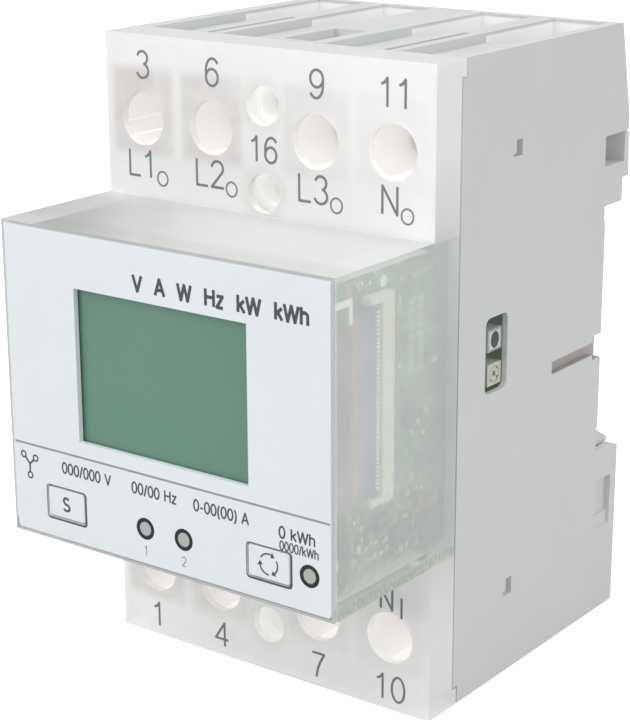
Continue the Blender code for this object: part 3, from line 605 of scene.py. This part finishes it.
def around(middle, half):
    """The limits of a stretch from its middle and half its length."""
    return (middle - half, middle + half)


def slab(bm, x, y, z, bevel=0.0):
    """Adds a block between three pairs of limits, with its edges rounded by bevel."""
    made = bmesh.ops.create_cube(bm, size=1.0)
    size = [pair[1] - pair[0] for pair in (x, y, z)]
    middle = [(pair[1] + pair[0]) / 2 for pair in (x, y, z)]
    bmesh.ops.scale(bm, vec=size, verts=made["verts"])
    bmesh.ops.translate(bm, vec=middle, verts=made["verts"])
    if bevel:
        edges = {edge for vert in made["verts"] for edge in vert.link_edges}
        bmesh.ops.bevel(bm, geom=list(edges), offset=bevel, segments=2, affect="EDGES", profile=0.5)


def lathe(bm, profile, origin, steps=64):
    """Turns (radius, distance in front of the origin) points about the Y axis through origin."""
    rings = []
    for radius, forward in profile:
        if radius == 0:
            rings.append([bm.verts.new(origin + Vector((0, -forward, 0)))])
            continue
        ring = []
        for step in range(steps):
            angle = 2 * math.pi * step / steps
            spoke = Vector((radius * math.cos(angle), -forward, radius * math.sin(angle)))
            ring.append(bm.verts.new(origin + spoke))
        rings.append(ring)
    for inner, outer in zip(rings, rings[1:]):
        for step in range(steps):
            after = (step + 1) % steps
            corners = [inner[step % len(inner)], inner[after % len(inner)],
                       outer[after % len(outer)], outer[step % len(outer)]]
            unique = list(dict.fromkeys(corners))
            if len(unique) > 2:
                bm.faces.new(unique)


# ---------------- printing

def arc(u, v, ru, rv, start, end, steps=14):
    """Points along an ellipse arc, angles in degrees."""
    points = []
    for step in range(steps + 1):
        angle = math.radians(start + (end - start) * step / steps)
        points.append((u + ru * math.cos(angle), v + rv * math.sin(angle)))
    return points


# Single-stroke characters: width, then strokes. Heights are shares of a capital's height.
GLYPHS = {
    " ": (0.30, []),
    "0": (0.54, [arc(0.27, 0.50, 0.23, 0.49, 90, 450, 28)]),
    "1": (0.52, [[(0.10, 0.76), (0.22, 0.83), (0.31, 0.98), (0.31, 0.0)]]),
    "2": (0.54, [arc(0.27, 0.72, 0.22, 0.26, 175, -30) + [(0.04, 0.02), (0.51, 0.02)]]),
    "3": (0.54, [arc(0.25, 0.74, 0.20, 0.24, 165, -70) + arc(0.25, 0.265, 0.23, 0.26, 70, -165)]),
    "4": (0.56, [[(0.40, 0.0), (0.40, 0.98), (0.03, 0.29), (0.54, 0.29)]]),
    "6": (0.54, [arc(0.275, 0.31, 0.225, 0.30, 90, 450, 28),
                 [(0.05, 0.31)] + arc(0.30, 0.54, 0.25, 0.445, 180, 38)]),
    "7": (0.52, [[(0.03, 0.97), (0.49, 0.97), (0.34, 0.64), (0.24, 0.33), (0.19, 0.0)]]),
    "9": (0.54, [arc(0.265, 0.69, 0.225, 0.30, 90, 450, 28),
                 [(0.49, 0.69)] + arc(0.24, 0.46, 0.25, 0.445, 0, -142)]),
    "L": (0.50, [[(0.06, 0.98), (0.06, 0.02), (0.48, 0.02)]]),
    "N": (0.66, [[(0.07, 0.0), (0.07, 0.98), (0.58, 0.02), (0.58, 1.0)]]),
    "S": (0.60, [arc(0.30, 0.745, 0.21, 0.235, 25, 250) + arc(0.30, 0.255, 0.245, 0.235, 70, -158)]),
    "I": (0.14, [[(0.07, 0.0), (0.07, 1.0)]]),
    "A": (0.64, [[(0.02, 0.0), (0.32, 0.98), (0.62, 0.0)], [(0.13, 0.34), (0.51, 0.34)]]),
    "V": (0.62, [[(0.02, 0.98), (0.31, 0.02), (0.60, 0.98)]]),
    "H": (0.66, [[(0.07, 0.0), (0.07, 1.0)], [(0.59, 0.0), (0.59, 1.0)], [(0.07, 0.53), (0.59, 0.53)]]),
    "W": (0.90, [[(0.02, 0.98), (0.23, 0.02), (0.45, 0.94), (0.67, 0.02), (0.88, 0.98)]]),
    "h": (0.52, [[(0.06, 0.0), (0.06, 1.0)],
                 [(0.06, 0.42)] + arc(0.255, 0.50, 0.195, 0.20, 180, 0) + [(0.45, 0.0)]]),
    "k": (0.48, [[(0.06, 0.0), (0.06, 1.0)], [(0.44, 0.70), (0.07, 0.30)], [(0.19, 0.43), (0.46, 0.0)]]),
    "z": (0.46, [[(0.04, 0.68), (0.42, 0.68), (0.04, 0.02), (0.43, 0.02)]]),
    "-": (0.34, [[(0.04, 0.35), (0.30, 0.35)]]),
    "/": (0.30, [[(0.02, -0.05), (0.28, 1.03)]]),
    "(": (0.26, [arc(0.33, 0.40, 0.26, 0.66, 115, 245)]),
    ")": (0.26, [arc(-0.07, 0.40, 0.26, 0.66, 65, -65)]),
}
SPACING = 0.09                   # between characters, as a share of a capital's height
NO_LENGTH = 1e-9                 # shorter than this, two points of a stroke are one
CLOSED_GAP = 1e-6                # nearer than this, a stroke's two ends meet
SHARP_TURN = math.radians(80)    # a stroke that turns back by more is cut in two
LAYERS = 5                       # levels that crossing strokes are spread over, so that none coincide


def text_width(text, height):
    return height * (sum(GLYPHS[letter][0] for letter in text) + SPACING * (len(text) - 1))


def lettering(text, u, v, height, align="centre", narrow=1.0):
    """Strokes of a line of characters whose baseline starts, ends or is centred at (u, v)."""
    width = text_width(text, height) * narrow
    left = {"left": u, "centre": u - width / 2, "right": u - width}[align]
    strokes = []
    for letter in text:
        advance, paths = GLYPHS[letter]
        for path in paths:
            strokes.append([(left + a * height * narrow, v + b * height) for a, b in path])
        left += (advance + SPACING) * height * narrow
    return strokes


def stroke_edges(points, width, closed):
    """The two sides of a stroke, mitred at its corners."""
    count = len(points)
    left, right = [], []
    for i, (u, v) in enumerate(points):
        before = points[(i - 1) % count] if closed or i > 0 else None
        after = points[(i + 1) % count] if closed or i < count - 1 else None
        normals = []
        for start, end in ((before, (u, v)), ((u, v), after)):
            if start is None or end is None:
                continue
            du, dv = end[0] - start[0], end[1] - start[1]
            length = math.hypot(du, dv)
            if length > NO_LENGTH:
                normals.append((-dv / length, du / length))
        nu = sum(n[0] for n in normals) / len(normals)
        nv = sum(n[1] for n in normals) / len(normals)
        scale = width / 2 / max(nu * nu + nv * nv, 0.25)
        left.append((u + nu * scale, v + nv * scale))
        right.append((u - nu * scale, v - nv * scale))
    return left, right


def split_at_corners(points, overlap):
    """Cuts a stroke where it turns back sharply; the cut ends run on by overlap, so they meet."""
    points = [tuple(point) for point in points]
    pieces, start = [], 0
    for i in range(1, len(points) - 1):
        corner = Vector(points[i])
        into = corner - Vector(points[i - 1])
        out = Vector(points[i + 1]) - corner
        if min(into.length, out.length) > NO_LENGTH and into.angle(out) > SHARP_TURN:
            pieces.append(points[start:i] + [tuple(corner + into.normalized() * overlap)])
            points[i] = tuple(corner - out.normalized() * overlap * 0.2)
            start = i
    pieces.append(points[start:])
    return pieces


class Print:
    """Ink on one flat face. lay turns (u, v, height above the face) into a point."""

    def __init__(self, name, material, lay, body=CASE):
        self.name, self.material, self.lay, self.body = name, material, lay, body
        self.bm = bmesh.new()
        self.layer = 0

    def strip(self, left, right, closed):
        """A closed ribbon of ink between two rows of points."""
        top = RAISED + INK + self.layer * RAISED / 8
        self.layer = (self.layer + 1) % LAYERS
        rows = []
        for (au, av), (bu, bv) in zip(left, right):
            corners = ((au, av, top), (bu, bv, top), (bu, bv, RAISED), (au, av, RAISED))
            rows.append([self.bm.verts.new(self.lay(*corner)) for corner in corners])
        pairs = list(zip(rows, rows[1:])) + ([(rows[-1], rows[0])] if closed else [])
        for one, two in pairs:
            for i in range(4):
                self.bm.faces.new((one[i], one[(i + 1) % 4], two[(i + 1) % 4], two[i]))
        if not closed:
            self.bm.faces.new(rows[0][::-1])
            self.bm.faces.new(rows[-1])

    def stroke(self, points, width, closed=False):
        if len(points) > 2 and math.dist(points[0], points[-1]) < CLOSED_GAP:
            points, closed = points[:-1], True
        if closed:
            self.strip(*stroke_edges(points, width, True), True)
            return
        for piece in split_at_corners(points, width * 0.35):
            self.strip(*stroke_edges(piece, width, False), False)

    def strokes(self, many, width):
        for points in many:
            self.stroke(points, width)

    def patch(self, points):
        """A filled convex shape."""
        top = [self.bm.verts.new(self.lay(u, v, RAISED + INK)) for u, v in points]
        bottom = [self.bm.verts.new(self.lay(u, v, RAISED)) for u, v in points]
        self.bm.faces.new(top)
        self.bm.faces.new(bottom[::-1])
        for i in range(len(points)):
            j = (i + 1) % len(points)
            self.bm.faces.new((top[i], bottom[i], bottom[j], top[j]))

    def block(self, u, v):
        """A filled rectangle between two pairs of limits."""
        self.patch([(u[0], v[0]), (u[1], v[0]), (u[1], v[1]), (u[0], v[1])])

    def done(self):
        finished(self.name, self.bm, self.material, self.body)


def facing_front(y):
    """Lays (x, z) points on a face that looks towards -Y."""
    return lambda u, v, height: Vector((u, y - height, v))


def facing_right(x):
    """Lays (y, z) points on a face that looks towards +X."""
    return lambda u, v, height: Vector((x + height, u, v))


def round_box(u, v, radius, steps=5):
    """The outline of a rectangle with round corners."""
    corners = [(u[1] - radius, v[1] - radius, 0), (u[0] + radius, v[1] - radius, 90),
               (u[0] + radius, v[0] + radius, 180), (u[1] - radius, v[0] + radius, 270)]
    outline = []
    for cu, cv, start in corners:
        outline += arc(cu, cv, radius, radius, start, start + 90, steps)
    return outline


def print_panel(dark, pale, black):
    """Everything printed on the front panel: plain unit signs and zeros stand in for its wording."""
    lay = facing_front(FACE_Y)
    panel_low, panel_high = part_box("front_panel")
    lines = Print("panel_lines", pale, lay)
    divider = -8.9 * MM
    lines.stroke([(panel_low.x + 0.1 * MM, divider), (panel_high.x - 0.1 * MM, divider)], 0.28 * MM)
    lines.done()

    title = Print("panel_title", dark, lay)
    print_star_symbol(title)
    title.strokes(lettering("V  A  W  Hz  kW  kWh", 9.6 * MM, 15.5 * MM, 2.15 * MM, narrow=1.14), 0.44 * MM)
    title.done()

    ratings = Print("panel_ratings", dark, lay)
    for text, u, v in (("000/000 V", -13.5, -11.75), ("00/00 Hz", -1.7, -11.8), ("0-00(00) A", 9.4, -11.9)):
        ratings.strokes(lettering(text, u * MM, v * MM, 1.5 * MM, narrow=1.12), 0.23 * MM)
    ratings.strokes(lettering("0 kWh", 21.4 * MM, -12.35 * MM, 1.5 * MM, narrow=1.2), 0.24 * MM)
    ratings.strokes(lettering("0000/kWh", 21.7 * MM, -13.95 * MM, 1.2 * MM), 0.17 * MM)
    ratings.done()

    captions = Print("light_captions", pale, lay)
    for pipe, text in zip(LIGHT_PIPES, "12"):
        captions.strokes(lettering(text, centre(pipe).x, -20.1 * MM, 1.35 * MM), 0.13 * MM)
    captions.done()

    rings = Print("light_rings", black, lay)
    for pipe in LIGHT_PIPES:
        middle = centre(pipe)
        rings.stroke(arc(middle.x, middle.z, 1.27 * MM, 1.27 * MM, 0, 360, 48), 0.46 * MM)
    rings.done()


def print_star_symbol(marks):
    """Three small circles joined by a star of lines: a three-phase supply with a neutral."""
    hub = (-23.85 * MM, -11.75 * MM)
    ends = [(-24.95 * MM, -10.55 * MM), (-22.75 * MM, -10.75 * MM), (-23.85 * MM, -13.35 * MM)]
    for u, v in ends:
        reach = math.dist(hub, (u, v))
        share = 1 - 0.42 * MM / reach
        marks.stroke([hub, (hub[0] + (u - hub[0]) * share, hub[1] + (v - hub[1]) * share)], 0.28 * MM)
        marks.stroke(arc(u, v, 0.42 * MM, 0.42 * MM, 0, 360, 24), 0.22 * MM)


def print_keys(dark):
    """Key legends, which ride on the keys, and the frame lines round them, which don't."""
    frames = Print("key_frames", dark, facing_front(FACE_Y))
    half_u, half_v = 3.45 * MM, 2.27 * MM
    thin, thick = 0.10 * MM, 0.26 * MM
    for key in ("s_key", "scroll_key"):
        left, right = centre(key).x - half_u, centre(key).x + half_u
        foot, head = centre(key).z - half_v, centre(key).z + half_v
        outer = round_box((left - thin, right + thick), (foot - thick, head + thin), 0.55 * MM)
        frames.strip(outer, round_box((left, right), (foot, head), 0.5 * MM), True)
    frames.done()

    middle = centre("s_key")
    legend = Print("s_legend", dark, facing_front(low("s_key").y), "s_key")
    legend.strokes(lettering("S", middle.x, middle.z - 0.95 * MM, 1.9 * MM, narrow=1.15), 0.33 * MM)
    legend.done()

    middle = centre("scroll_key")
    arrows = Print("scroll_legend", dark, facing_front(low("scroll_key").y), "scroll_key")
    radius, half_head = 1.4 * MM, 0.42 * MM
    shaft_turn, head_turn = 78, 24

    def at(distance, degrees):
        angle = math.radians(degrees)
        return (middle.x + distance * math.cos(angle), middle.z + distance * math.sin(angle))

    for start in (150, 30, 270):
        end = start - shaft_turn
        arrows.stroke(arc(middle.x, middle.z, radius, radius, start, end, 12), 0.2 * MM)
        arrows.patch([at(radius, end - head_turn), at(radius - half_head, end), at(radius + half_head, end)])
    arrows.done()


def print_terminal_marks(grey):
    """Terminal numbers and phase marks on the cover."""
    marks = Print("terminal_marks", grey, facing_front(TERMINAL_Y))
    height, width, wide = 3.7 * MM, 0.36 * MM, 1.2

    def mark(text, x, z, size=height):
        marks.strokes(lettering(text, x, z, size, narrow=wide), width)

    for number, phase in zip(TERMINALS_TOP, PHASES + ["N"]):
        hole = centre("terminal_screw_" + number)
        mark(number, hole.x + 0.25 * MM, hole.z + 5.6 * MM)
        mark(phase, hole.x - 0.4 * MM, hole.z - 8.0 * MM)
        ring_u = hole.x - 0.4 * MM + (text_width(phase, height) * wide / 2 + 1.2 * MM)
        marks.stroke(arc(ring_u, hole.z - 7.9 * MM, 0.9 * MM, 0.98 * MM, 0, 360, 32), 0.24 * MM)
    for number in TERMINALS_BOTTOM:
        hole = centre("terminal_screw_" + number)
        mark(number, hole.x + 0.1 * MM, hole.z - 9.2 * MM)
    mark("16", centre("aux_screw_top_outer").x, 28.9 * MM, 3.4 * MM)
    neutral = centre("terminal_screw_10")
    mark("N", neutral.x - 0.5 * MM, neutral.z + 4.0 * MM, 3.0 * MM)
    mark("I", neutral.x + 1.9 * MM, neutral.z + 3.2 * MM, 3.0 * MM)
    marks.done()


# ---------------- metal parts

def turn_terminal_screws(steel):
    """Combination-drive screws, with a rounded rim and a chamfered tip, in place of the faceted CAD ones."""
    head, shank = 2.4 * MM, 2.3 * MM
    rim, tip = 0.15 * MM, 0.5 * MM
    for number in TERMINALS:
        node = "terminal_screw_" + number
        lowest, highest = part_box(node)
        radius = (highest.x - lowest.x) / 2
        length = highest.y - lowest.y
        origin = Vector((centre(node).x, lowest.y, centre(node).z))
        profile = [
            (0, 0), (radius * 0.86, 0), (radius * 0.95, -0.08 * MM), (radius, -0.3 * MM),
            (radius, -head + rim), (radius - rim, -head), (shank, -head),
            (shank, -length + tip), (shank - tip, -length), (0, -length),
        ]
        bm = bmesh.new()
        lathe(bm, profile, origin)
        screw = finished(node + "_turned", bm, steel, node, 30)
        cut_drive(screw, origin, radius)
        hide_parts(node)


def cut_drive(screw, origin, radius):
    """Sinks a cross with one long arm into a screw head."""
    bm = bmesh.new()
    depth = 1.2 * MM
    for half_x, half_z in ((radius * 0.79, 0.5 * MM), (0.5 * MM, radius * 0.58)):
        slab(bm, around(origin.x, half_x), (origin.y - 1 * MM, origin.y + depth), around(origin.z, half_z))
        depth += 0.01 * MM
    cutter = show("drive_cutter", to_mesh("drive_cutter", bm))
    recess = screw.modifiers.new("recess", "BOOLEAN")
    recess.object = cutter
    recess.operation = "DIFFERENCE"
    recess.use_self = True
    apply_modifiers(screw)
    bpy.data.objects.remove(cutter)


def apply_modifiers(obj):
    evaluated = obj.evaluated_get(bpy.context.evaluated_depsgraph_get())
    mesh = bpy.data.meshes.new_from_object(evaluated)
    obj.modifiers.clear()
    obj.data = mesh


# ---------------- boards

def make_board_finishes():
    """The materials of the side board's parts, by name."""
    finishes = {
        "chip": moulded("chip_epoxy", (0.045, 0.05, 0.05), 0.4),
        "tin": metal("solder_tin", (0.42, 0.43, 0.41), 0.4),
        "silk": ink("silkscreen_white", (0.85, 0.86, 0.84)),
        "ceramic": moulded("ceramic_part", (0.50, 0.40, 0.25), 0.35),
    }
    for name, colour in (("dark_part", (0.02, 0.02, 0.03)), ("pale_part", (0.60, 0.62, 0.54)),
                         ("green_part", (0.10, 0.34, 0.22)), ("red_part", (0.36, 0.17, 0.11))):
        finishes[name] = moulded(name, colour, 0.35)
    return finishes


def fit_board_parts(finishes):
    """Chips and small parts on the outer face of the side board, crowded towards its lower end."""
    dice = random.Random(11)
    packages, leads = bmesh.new(), bmesh.new()
    for y, z, width, height in CHIPS:
        add_chip(packages, leads, y, z, width, height)
    finished("board_chips", packages, finishes["chip"])
    finished("board_chip_leads", leads, finishes["tin"])
    small = {colour: bmesh.new() for colour in sorted(set(SMALL_PART_COLOURS))}
    ends = bmesh.new()
    taken = [(y, z, width / 2 + 0.7, height / 2) for y, z, width, height in CHIPS] + CLEAR_OF_PARTS
    for y_range, z_range, tries in PART_ZONES:
        for _ in range(tries):
            y, z = dice.uniform(*y_range), dice.uniform(*z_range)
            upright, large = dice.random() < 0.65, dice.random() < 0.35
            long, short, tall = LARGE_PART if large else LITTLE_PART
            colour = dice.choice(SMALL_PART_COLOURS)
            half_y, half_z = (short, long) if upright else (long, short)
            if any(abs(y - other_y) < other_half_y + half_y + PART_GAP
                   and abs(z - other_z) < other_half_z + half_z + PART_GAP
                   for other_y, other_z, other_half_y, other_half_z in taken):
                continue
            taken.append((y, z, half_y, half_z))
            add_small_part(small[colour], ends, y, z, long, short, tall, upright)
    for colour, parts in small.items():
        finished("board_parts_" + colour, parts, finishes[colour])
    finished("board_part_ends", ends, finishes["tin"])


# Chips on the side board, as y, z, width and height in millimetres.
CHIPS = [
    (-46.2, -16.9, 3.6, 2.6), (-50.9, -13.9, 2.4, 2.0), (-40.4, -17.0, 2.8, 2.4), (-37.2, -10.0, 3.2, 3.6),
    (-44.6, -1.6, 1.8, 2.6),
]
# Places with no small parts, as y, z, half width and half height in millimetres: the connector, the
# printed frames and the round pad.
CLEAR_OF_PARTS = [(-52.5, 3.0, 3.2, 14.2), (-42.2, 9.2, 2.6, 6.2), (-49.8, 17.7, 1.2, 1.2)]
# Zones of small parts, as y range, z range and number of tries.
PART_ZONES = [((-57.2, -35.6), (-19.4, -11.4), 900), ((-47.6, -35.6), (-11.0, 19.2), 170),
              ((-57.0, -46.0), (17.2, 19.6), 20)]
SMALL_PART_COLOURS = ["ceramic", "dark_part", "pale_part", "green_part", "ceramic", "red_part"]
# Small parts, as half length, half width and height in millimetres.
LARGE_PART, LITTLE_PART = (0.8, 0.4, 0.5), (0.5, 0.25, 0.3)
PART_GAP = 0.14          # between two small parts, in millimetres
PIN_PITCH = 0.65         # of a chip, in millimetres


def add_chip(packages, leads, y, z, width, height):
    slab(packages, (BOARD_X, BOARD_X + 0.9 * MM), around(y * MM, width / 2 * MM),
         around(z * MM, height / 2 * MM), 0.08 * MM)
    pins = int(height / PIN_PITCH)
    for pin in range(pins):
        pin_z = z + (pin - (pins - 1) / 2) * PIN_PITCH
        for side in (-1, 1):
            lead_y = y + side * (width / 2 + 0.3)
            slab(leads, (BOARD_X, BOARD_X + 0.25 * MM), around(lead_y * MM, 0.3 * MM),
                 around(pin_z * MM, 0.12 * MM))


def add_small_part(parts, ends, y, z, long, short, tall, upright):
    """A two-terminal chip part: a body and a solder end at both sides."""
    along, across = (z, y) if upright else (y, z)

    def add(bm, height, middle, half_long, half_short, bevel=0.0):
        sides = (around(middle * MM, half_long * MM), around(across * MM, half_short * MM))
        slab(bm, (BOARD_X, BOARD_X + height * MM), *(sides[::-1] if upright else sides), bevel)

    add(parts, tall, along, long * 0.7, short, 0.03 * MM)
    for side in (-1, 1):
        add(ends, tall + 0.03, along + side * long * 0.82, long * 0.18, short + 0.02)


def print_board(silk, pale_green):
    """Marks on the side board: a double column of small blocks, short lines, a round pad and dots."""
    frames = Print("board_frames", pale_green, facing_right(BOARD_X))
    for column in range(2):
        for row in range(9):
            left, top = (-44.2 + 2.1 * column) * MM, (14.0 - 1.15 * row) * MM
            right, bottom = left + 1.35 * MM, top - 0.85 * MM
            frames.block((left, right), (bottom, top))
            line_y, proud = left - 0.2 * MM, 0.15 * MM
            frames.stroke([(line_y, bottom - proud), (line_y, top + proud)], 0.12 * MM)
    for y, z, length in ((-39.9, -0.7, 1.6), (-42.6, -2.6, 1.4), (-39.4, -2.8, 1.2), (-43.5, -18.3, 2.4)):
        frames.stroke([(y * MM, z * MM), ((y + length) * MM, z * MM)], 0.25 * MM)
    frames.done()
    pads = Print("board_pads", silk, facing_right(BOARD_X))
    pads.patch(arc(-49.9 * MM, 17.65 * MM, 0.8 * MM, 0.8 * MM, 0, 345, 24))
    for y, z in ((-54.5, 18.3), (-52.8, 18.0), (-46.2, 14.3)):
        pads.patch(arc(y * MM, z * MM, 0.28 * MM, 0.28 * MM, 0, 330, 12))
    pads.done()


def fit_display_edge(white, film):
    """What shows behind the clear side between the front panel and the flat cable: the white edge of the
    display frame, and a thin dark sheet of painted shadow.
    """
    wall = (25.25 * MM, 25.4 * MM)
    frame_edge = bmesh.new()
    for front, back, foot, head in ((-63.5, -63.05, -20.0, 17.3), (-63.5, -59.5, 17.0, 17.9),
                                    (-60.2, -59.5, 14.6, 17.0)):
        slab(frame_edge, wall, (front * MM, back * MM), (foot * MM, head * MM), 0.03 * MM)
    finished("display_frame_edge", frame_edge, white)
    # Painted shadow: a thin dark sheet just inside the clear side.
    painted_shadow_sheet = bmesh.new()
    slab(painted_shadow_sheet, (25.25 * MM, 25.3 * MM), (-62.6 * MM, -59.5 * MM), (-9.2 * MM, 14.4 * MM))
    finished("display_painted_shadow_sheet", painted_shadow_sheet, film)


def mark_infrared_parts(black, gold):
    """The detector's round dark lens, and the emitter's die with its bond pads."""
    detector = centre("ir_detector")
    lens = Print("detector_lens", black, facing_right(high("ir_detector").x))
    lens.patch(arc(detector.y, detector.z, 1.0 * MM, 1.15 * MM, 0, 350, 32))
    edge = round_box(around(detector.y, 1.5 * MM), around(detector.z, 1.36 * MM), 0.2 * MM)
    lens.stroke(edge, 0.08 * MM, True)
    lens.done()
    emitter = centre("ir_emitter")
    die = Print("emitter_die", gold, facing_right(high("ir_emitter").x))
    for dy, dz, half in ((-0.1, 0.1, 0.35), (0.75, -0.6, 0.2), (-0.8, -0.7, 0.16), (0.6, 0.8, 0.16)):
        die.block(around(emitter.y + dy * MM, half * MM), around(emitter.z + dz * MM, half * MM))
    wire = [(emitter.y - 0.1 * MM, emitter.z + 0.1 * MM), (emitter.y + 0.75 * MM, emitter.z - 0.6 * MM)]
    die.stroke(wire, 0.1 * MM)
    die.stroke(arc(emitter.y, emitter.z, 1.15 * MM, 1.1 * MM, 0, 360, 32), 0.07 * MM)
    die.done()


def fit_ribbon_contacts(tin):
    """The row of contacts where the flat cable enters its connector."""
    lowest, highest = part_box("ribbon_connector")
    cable_top = high("ribbon_cable").x
    bm = bmesh.new()
    count = 42
    first, last = lowest.z + 2.2 * MM, highest.z - 2.2 * MM
    front = lowest.y + 1.95 * MM
    for i in range(count):
        z = first + (last - first) * i / (count - 1)
        slab(bm, (cable_top + 0.02 * MM, cable_top + 0.25 * MM), (front, front + 0.5 * MM),
             around(z, 0.13 * MM), 0.04 * MM)
    finished("ribbon_contacts", bm, tin)


# ---------------- stage

def add_softbox(name, position, size, power, colour=(1, 1, 1)):
    """A square light aimed at the meter's middle."""
    data = bpy.data.lights.new(name, "AREA")
    data.shape = "RECTANGLE"
    data.size = data.size_y = size
    data.energy = power
    data.color = colour
    light = show(name, data)
    light.location = position
    towards = (cad_box[0] + cad_box[1]) / 2 - Vector(position)
    light.rotation_euler = towards.to_track_quat("-Z", "Y").to_euler()


def build_stage():
    """A pale room and floor, and soft light from the front, the top and the right."""
    scene = bpy.context.scene
    scene.view_settings.view_transform = "Standard"
    scene.world = bpy.data.worlds.new("soft_white_room")
    scene.world.use_nodes = True
    room = Nodes(scene.world.node_tree)
    background = room.tree.nodes["Background"]
    background.inputs["Strength"].default_value = 1.0
    seen = room.add("LightPath").outputs["Is Camera Ray"]
    room.feed(background.inputs["Color"], room.blend(seen, (0.665, 0.67, 0.675), (1.0, 1.0, 1.0)))

    bm = bmesh.new()
    bmesh.ops.create_grid(bm, x_segments=1, y_segments=1, size=3.0)
    bmesh.ops.translate(bm, vec=(0, 0, cad_box[0].z), verts=bm.verts)
    show("floor", to_mesh("floor", bm, floor_look()))

    add_softbox("front_softbox", (-0.25, -0.75, 0.45), 0.6, 2.65, (0.98, 0.985, 0.99))
    add_softbox("top_softbox", (0.05, -0.1, 0.9), 0.6, 2.8)
    add_softbox("right_fill", (0.7, -0.05, 0.25), 0.5, 1.25, (1.0, 0.99, 0.97))


def place_camera():
    """A long lens at the front right, slightly above, level to a fraction of a degree."""
    data = bpy.data.cameras.new("camera")
    data.sensor_width = 36.0
    data.lens = 99.12
    data.clip_start = 0.01
    camera = show("camera", data)
    camera.location = (0.157792, -0.245270, 0.079838)
    forward = Vector((-0.57046, 0.76764, -0.29206))
    up = Vector((-0.17049, 0.23718, 0.95639))
    right = forward.cross(up)
    camera.rotation_mode = "QUATERNION"
    rotation = Matrix((right, up, -forward)).transposed()
    camera.rotation_quaternion = rotation.to_quaternion()
    bpy.context.scene.camera = camera


# ---------------- assembly

def each(prefix, places):
    """The names of the nodes that share a prefix."""
    return [prefix + place.lower() for place in places]


def dress_frame():
    """Materials for the CAD nodes, and soft edges for the larger mouldings."""
    dress(housing_look(), "rear_housing")
    dress(cover_look(), "front_cover")
    dress(lcd_look(), "lcd_panel")
    dress(board_look(), "display_board", "side_board", "main_board")
    dress(film_look(), "ribbon_cable")
    panel_white, fine_grain = (0.80, 0.835, 0.86), 0.5 * MM
    dress(moulded("panel_white", panel_white, 0.42, fine_grain, 0.001 * MM), "front_panel")
    dress(moulded("key_white", panel_white, 0.42, fine_grain, 0.001 * MM), "s_key", "scroll_key")
    dress(moulded("light_pipe_grey", (0.46, 0.47, 0.44), 0.35, 0.15 * MM, 0.002 * MM), *LIGHT_PIPES)
    for name, colour, roughness, nodes in (
        ("white_plastic", (0.85, 0.85, 0.83), 0.45, "lcd_holder"),
        ("detector_white", (0.64, 0.68, 0.67), 0.4, "ir_detector"),
        ("emitter_ivory", (0.58, 0.58, 0.51), 0.4, "ir_emitter"),
        ("black_plastic", (0.05, 0.05, 0.05), 0.5, "s_switch scroll_switch power_transformer"),
        ("led_resin", (0.88, 0.86, 0.70), 0.3, "led_1 led_2 pulse_led"),
        ("ivory_plastic", (0.70, 0.67, 0.53), 0.5, "ribbon_connector"),
        ("capacitor_sleeve", (0.08, 0.08, 0.11), 0.3, "capacitor"),
        ("clip_grey", (0.64, 0.64, 0.63), 0.45, "din_clip"),
    ):
        dress(moulded(name, colour, roughness), *nodes.split())
    dress(moulded("core_blue", (0.05, 0.12, 0.30), 0.45), *each("current_transformer_", PHASES))
    # Painted glow: the white auxiliary blocks shine a little, for light soaking in through the milky cover.
    dress(moulded("terminal_white", (0.88, 0.88, 0.865), glow=0.26), "aux_block_top", "aux_block_bottom")
    dress(metal("shield_tin", (0.72, 0.72, 0.70), streak=(1, 1, 0.1)), "radio_module")
    dress(metal("busbar_copper", (0.78, 0.45, 0.28), streak=(1, 1, 0.05)),
          *each("busbar_", PHASES + ["N"]))
    dress(metal("cage_zinc", (0.72, 0.72, 0.69), 0.32, (1, 0.1, 1)),
          *each("terminal_cage_", TERMINALS), *each("aux_clamp_", AUX_PLACES))
    dress(metal("screw_zinc", (0.68, 0.68, 0.66)), *each("aux_screw_", AUX_PLACES))
    soften(0.22 * MM, "rear_housing", "front_cover", "din_clip")
    soften(0.12 * MM, "front_panel", "s_key", "scroll_key", "ribbon_connector", "lcd_panel", "lcd_holder")


build_stage()
place_camera()
dress_frame()
dark_ink = ink("ink_dark_grey", (0.065, 0.075, 0.085))
print_panel(dark_ink, ink("ink_pale_grey", (0.30, 0.31, 0.32)), ink("ink_black", (0.008, 0.009, 0.012)))
print_keys(dark_ink)
print_terminal_marks(ink("ink_mark_grey", (0.20, 0.225, 0.245)))
turn_terminal_screws(metal("screw_zinc_turned", (0.70, 0.70, 0.68), 0.28))
board_finishes = make_board_finishes()
fit_board_parts(board_finishes)
mark_infrared_parts(ink("lens_dark", (0.06, 0.08, 0.085)), metal("bond_gold", (0.42, 0.39, 0.30), 0.4))
print_board(board_finishes["silk"], ink("silkscreen_green", (0.33, 0.41, 0.35)))
# Painted glow: the contacts shine a little, so that they stand out behind the hazy side.
fit_ribbon_contacts(moulded("contact_white", (0.90, 0.90, 0.86), 0.4, glow=0.15))
# the dark sheet is painted shadow
fit_display_edge(board_finishes["silk"], moulded("painted_shadow_sheet", (0.13, 0.075, 0.09), 0.35))
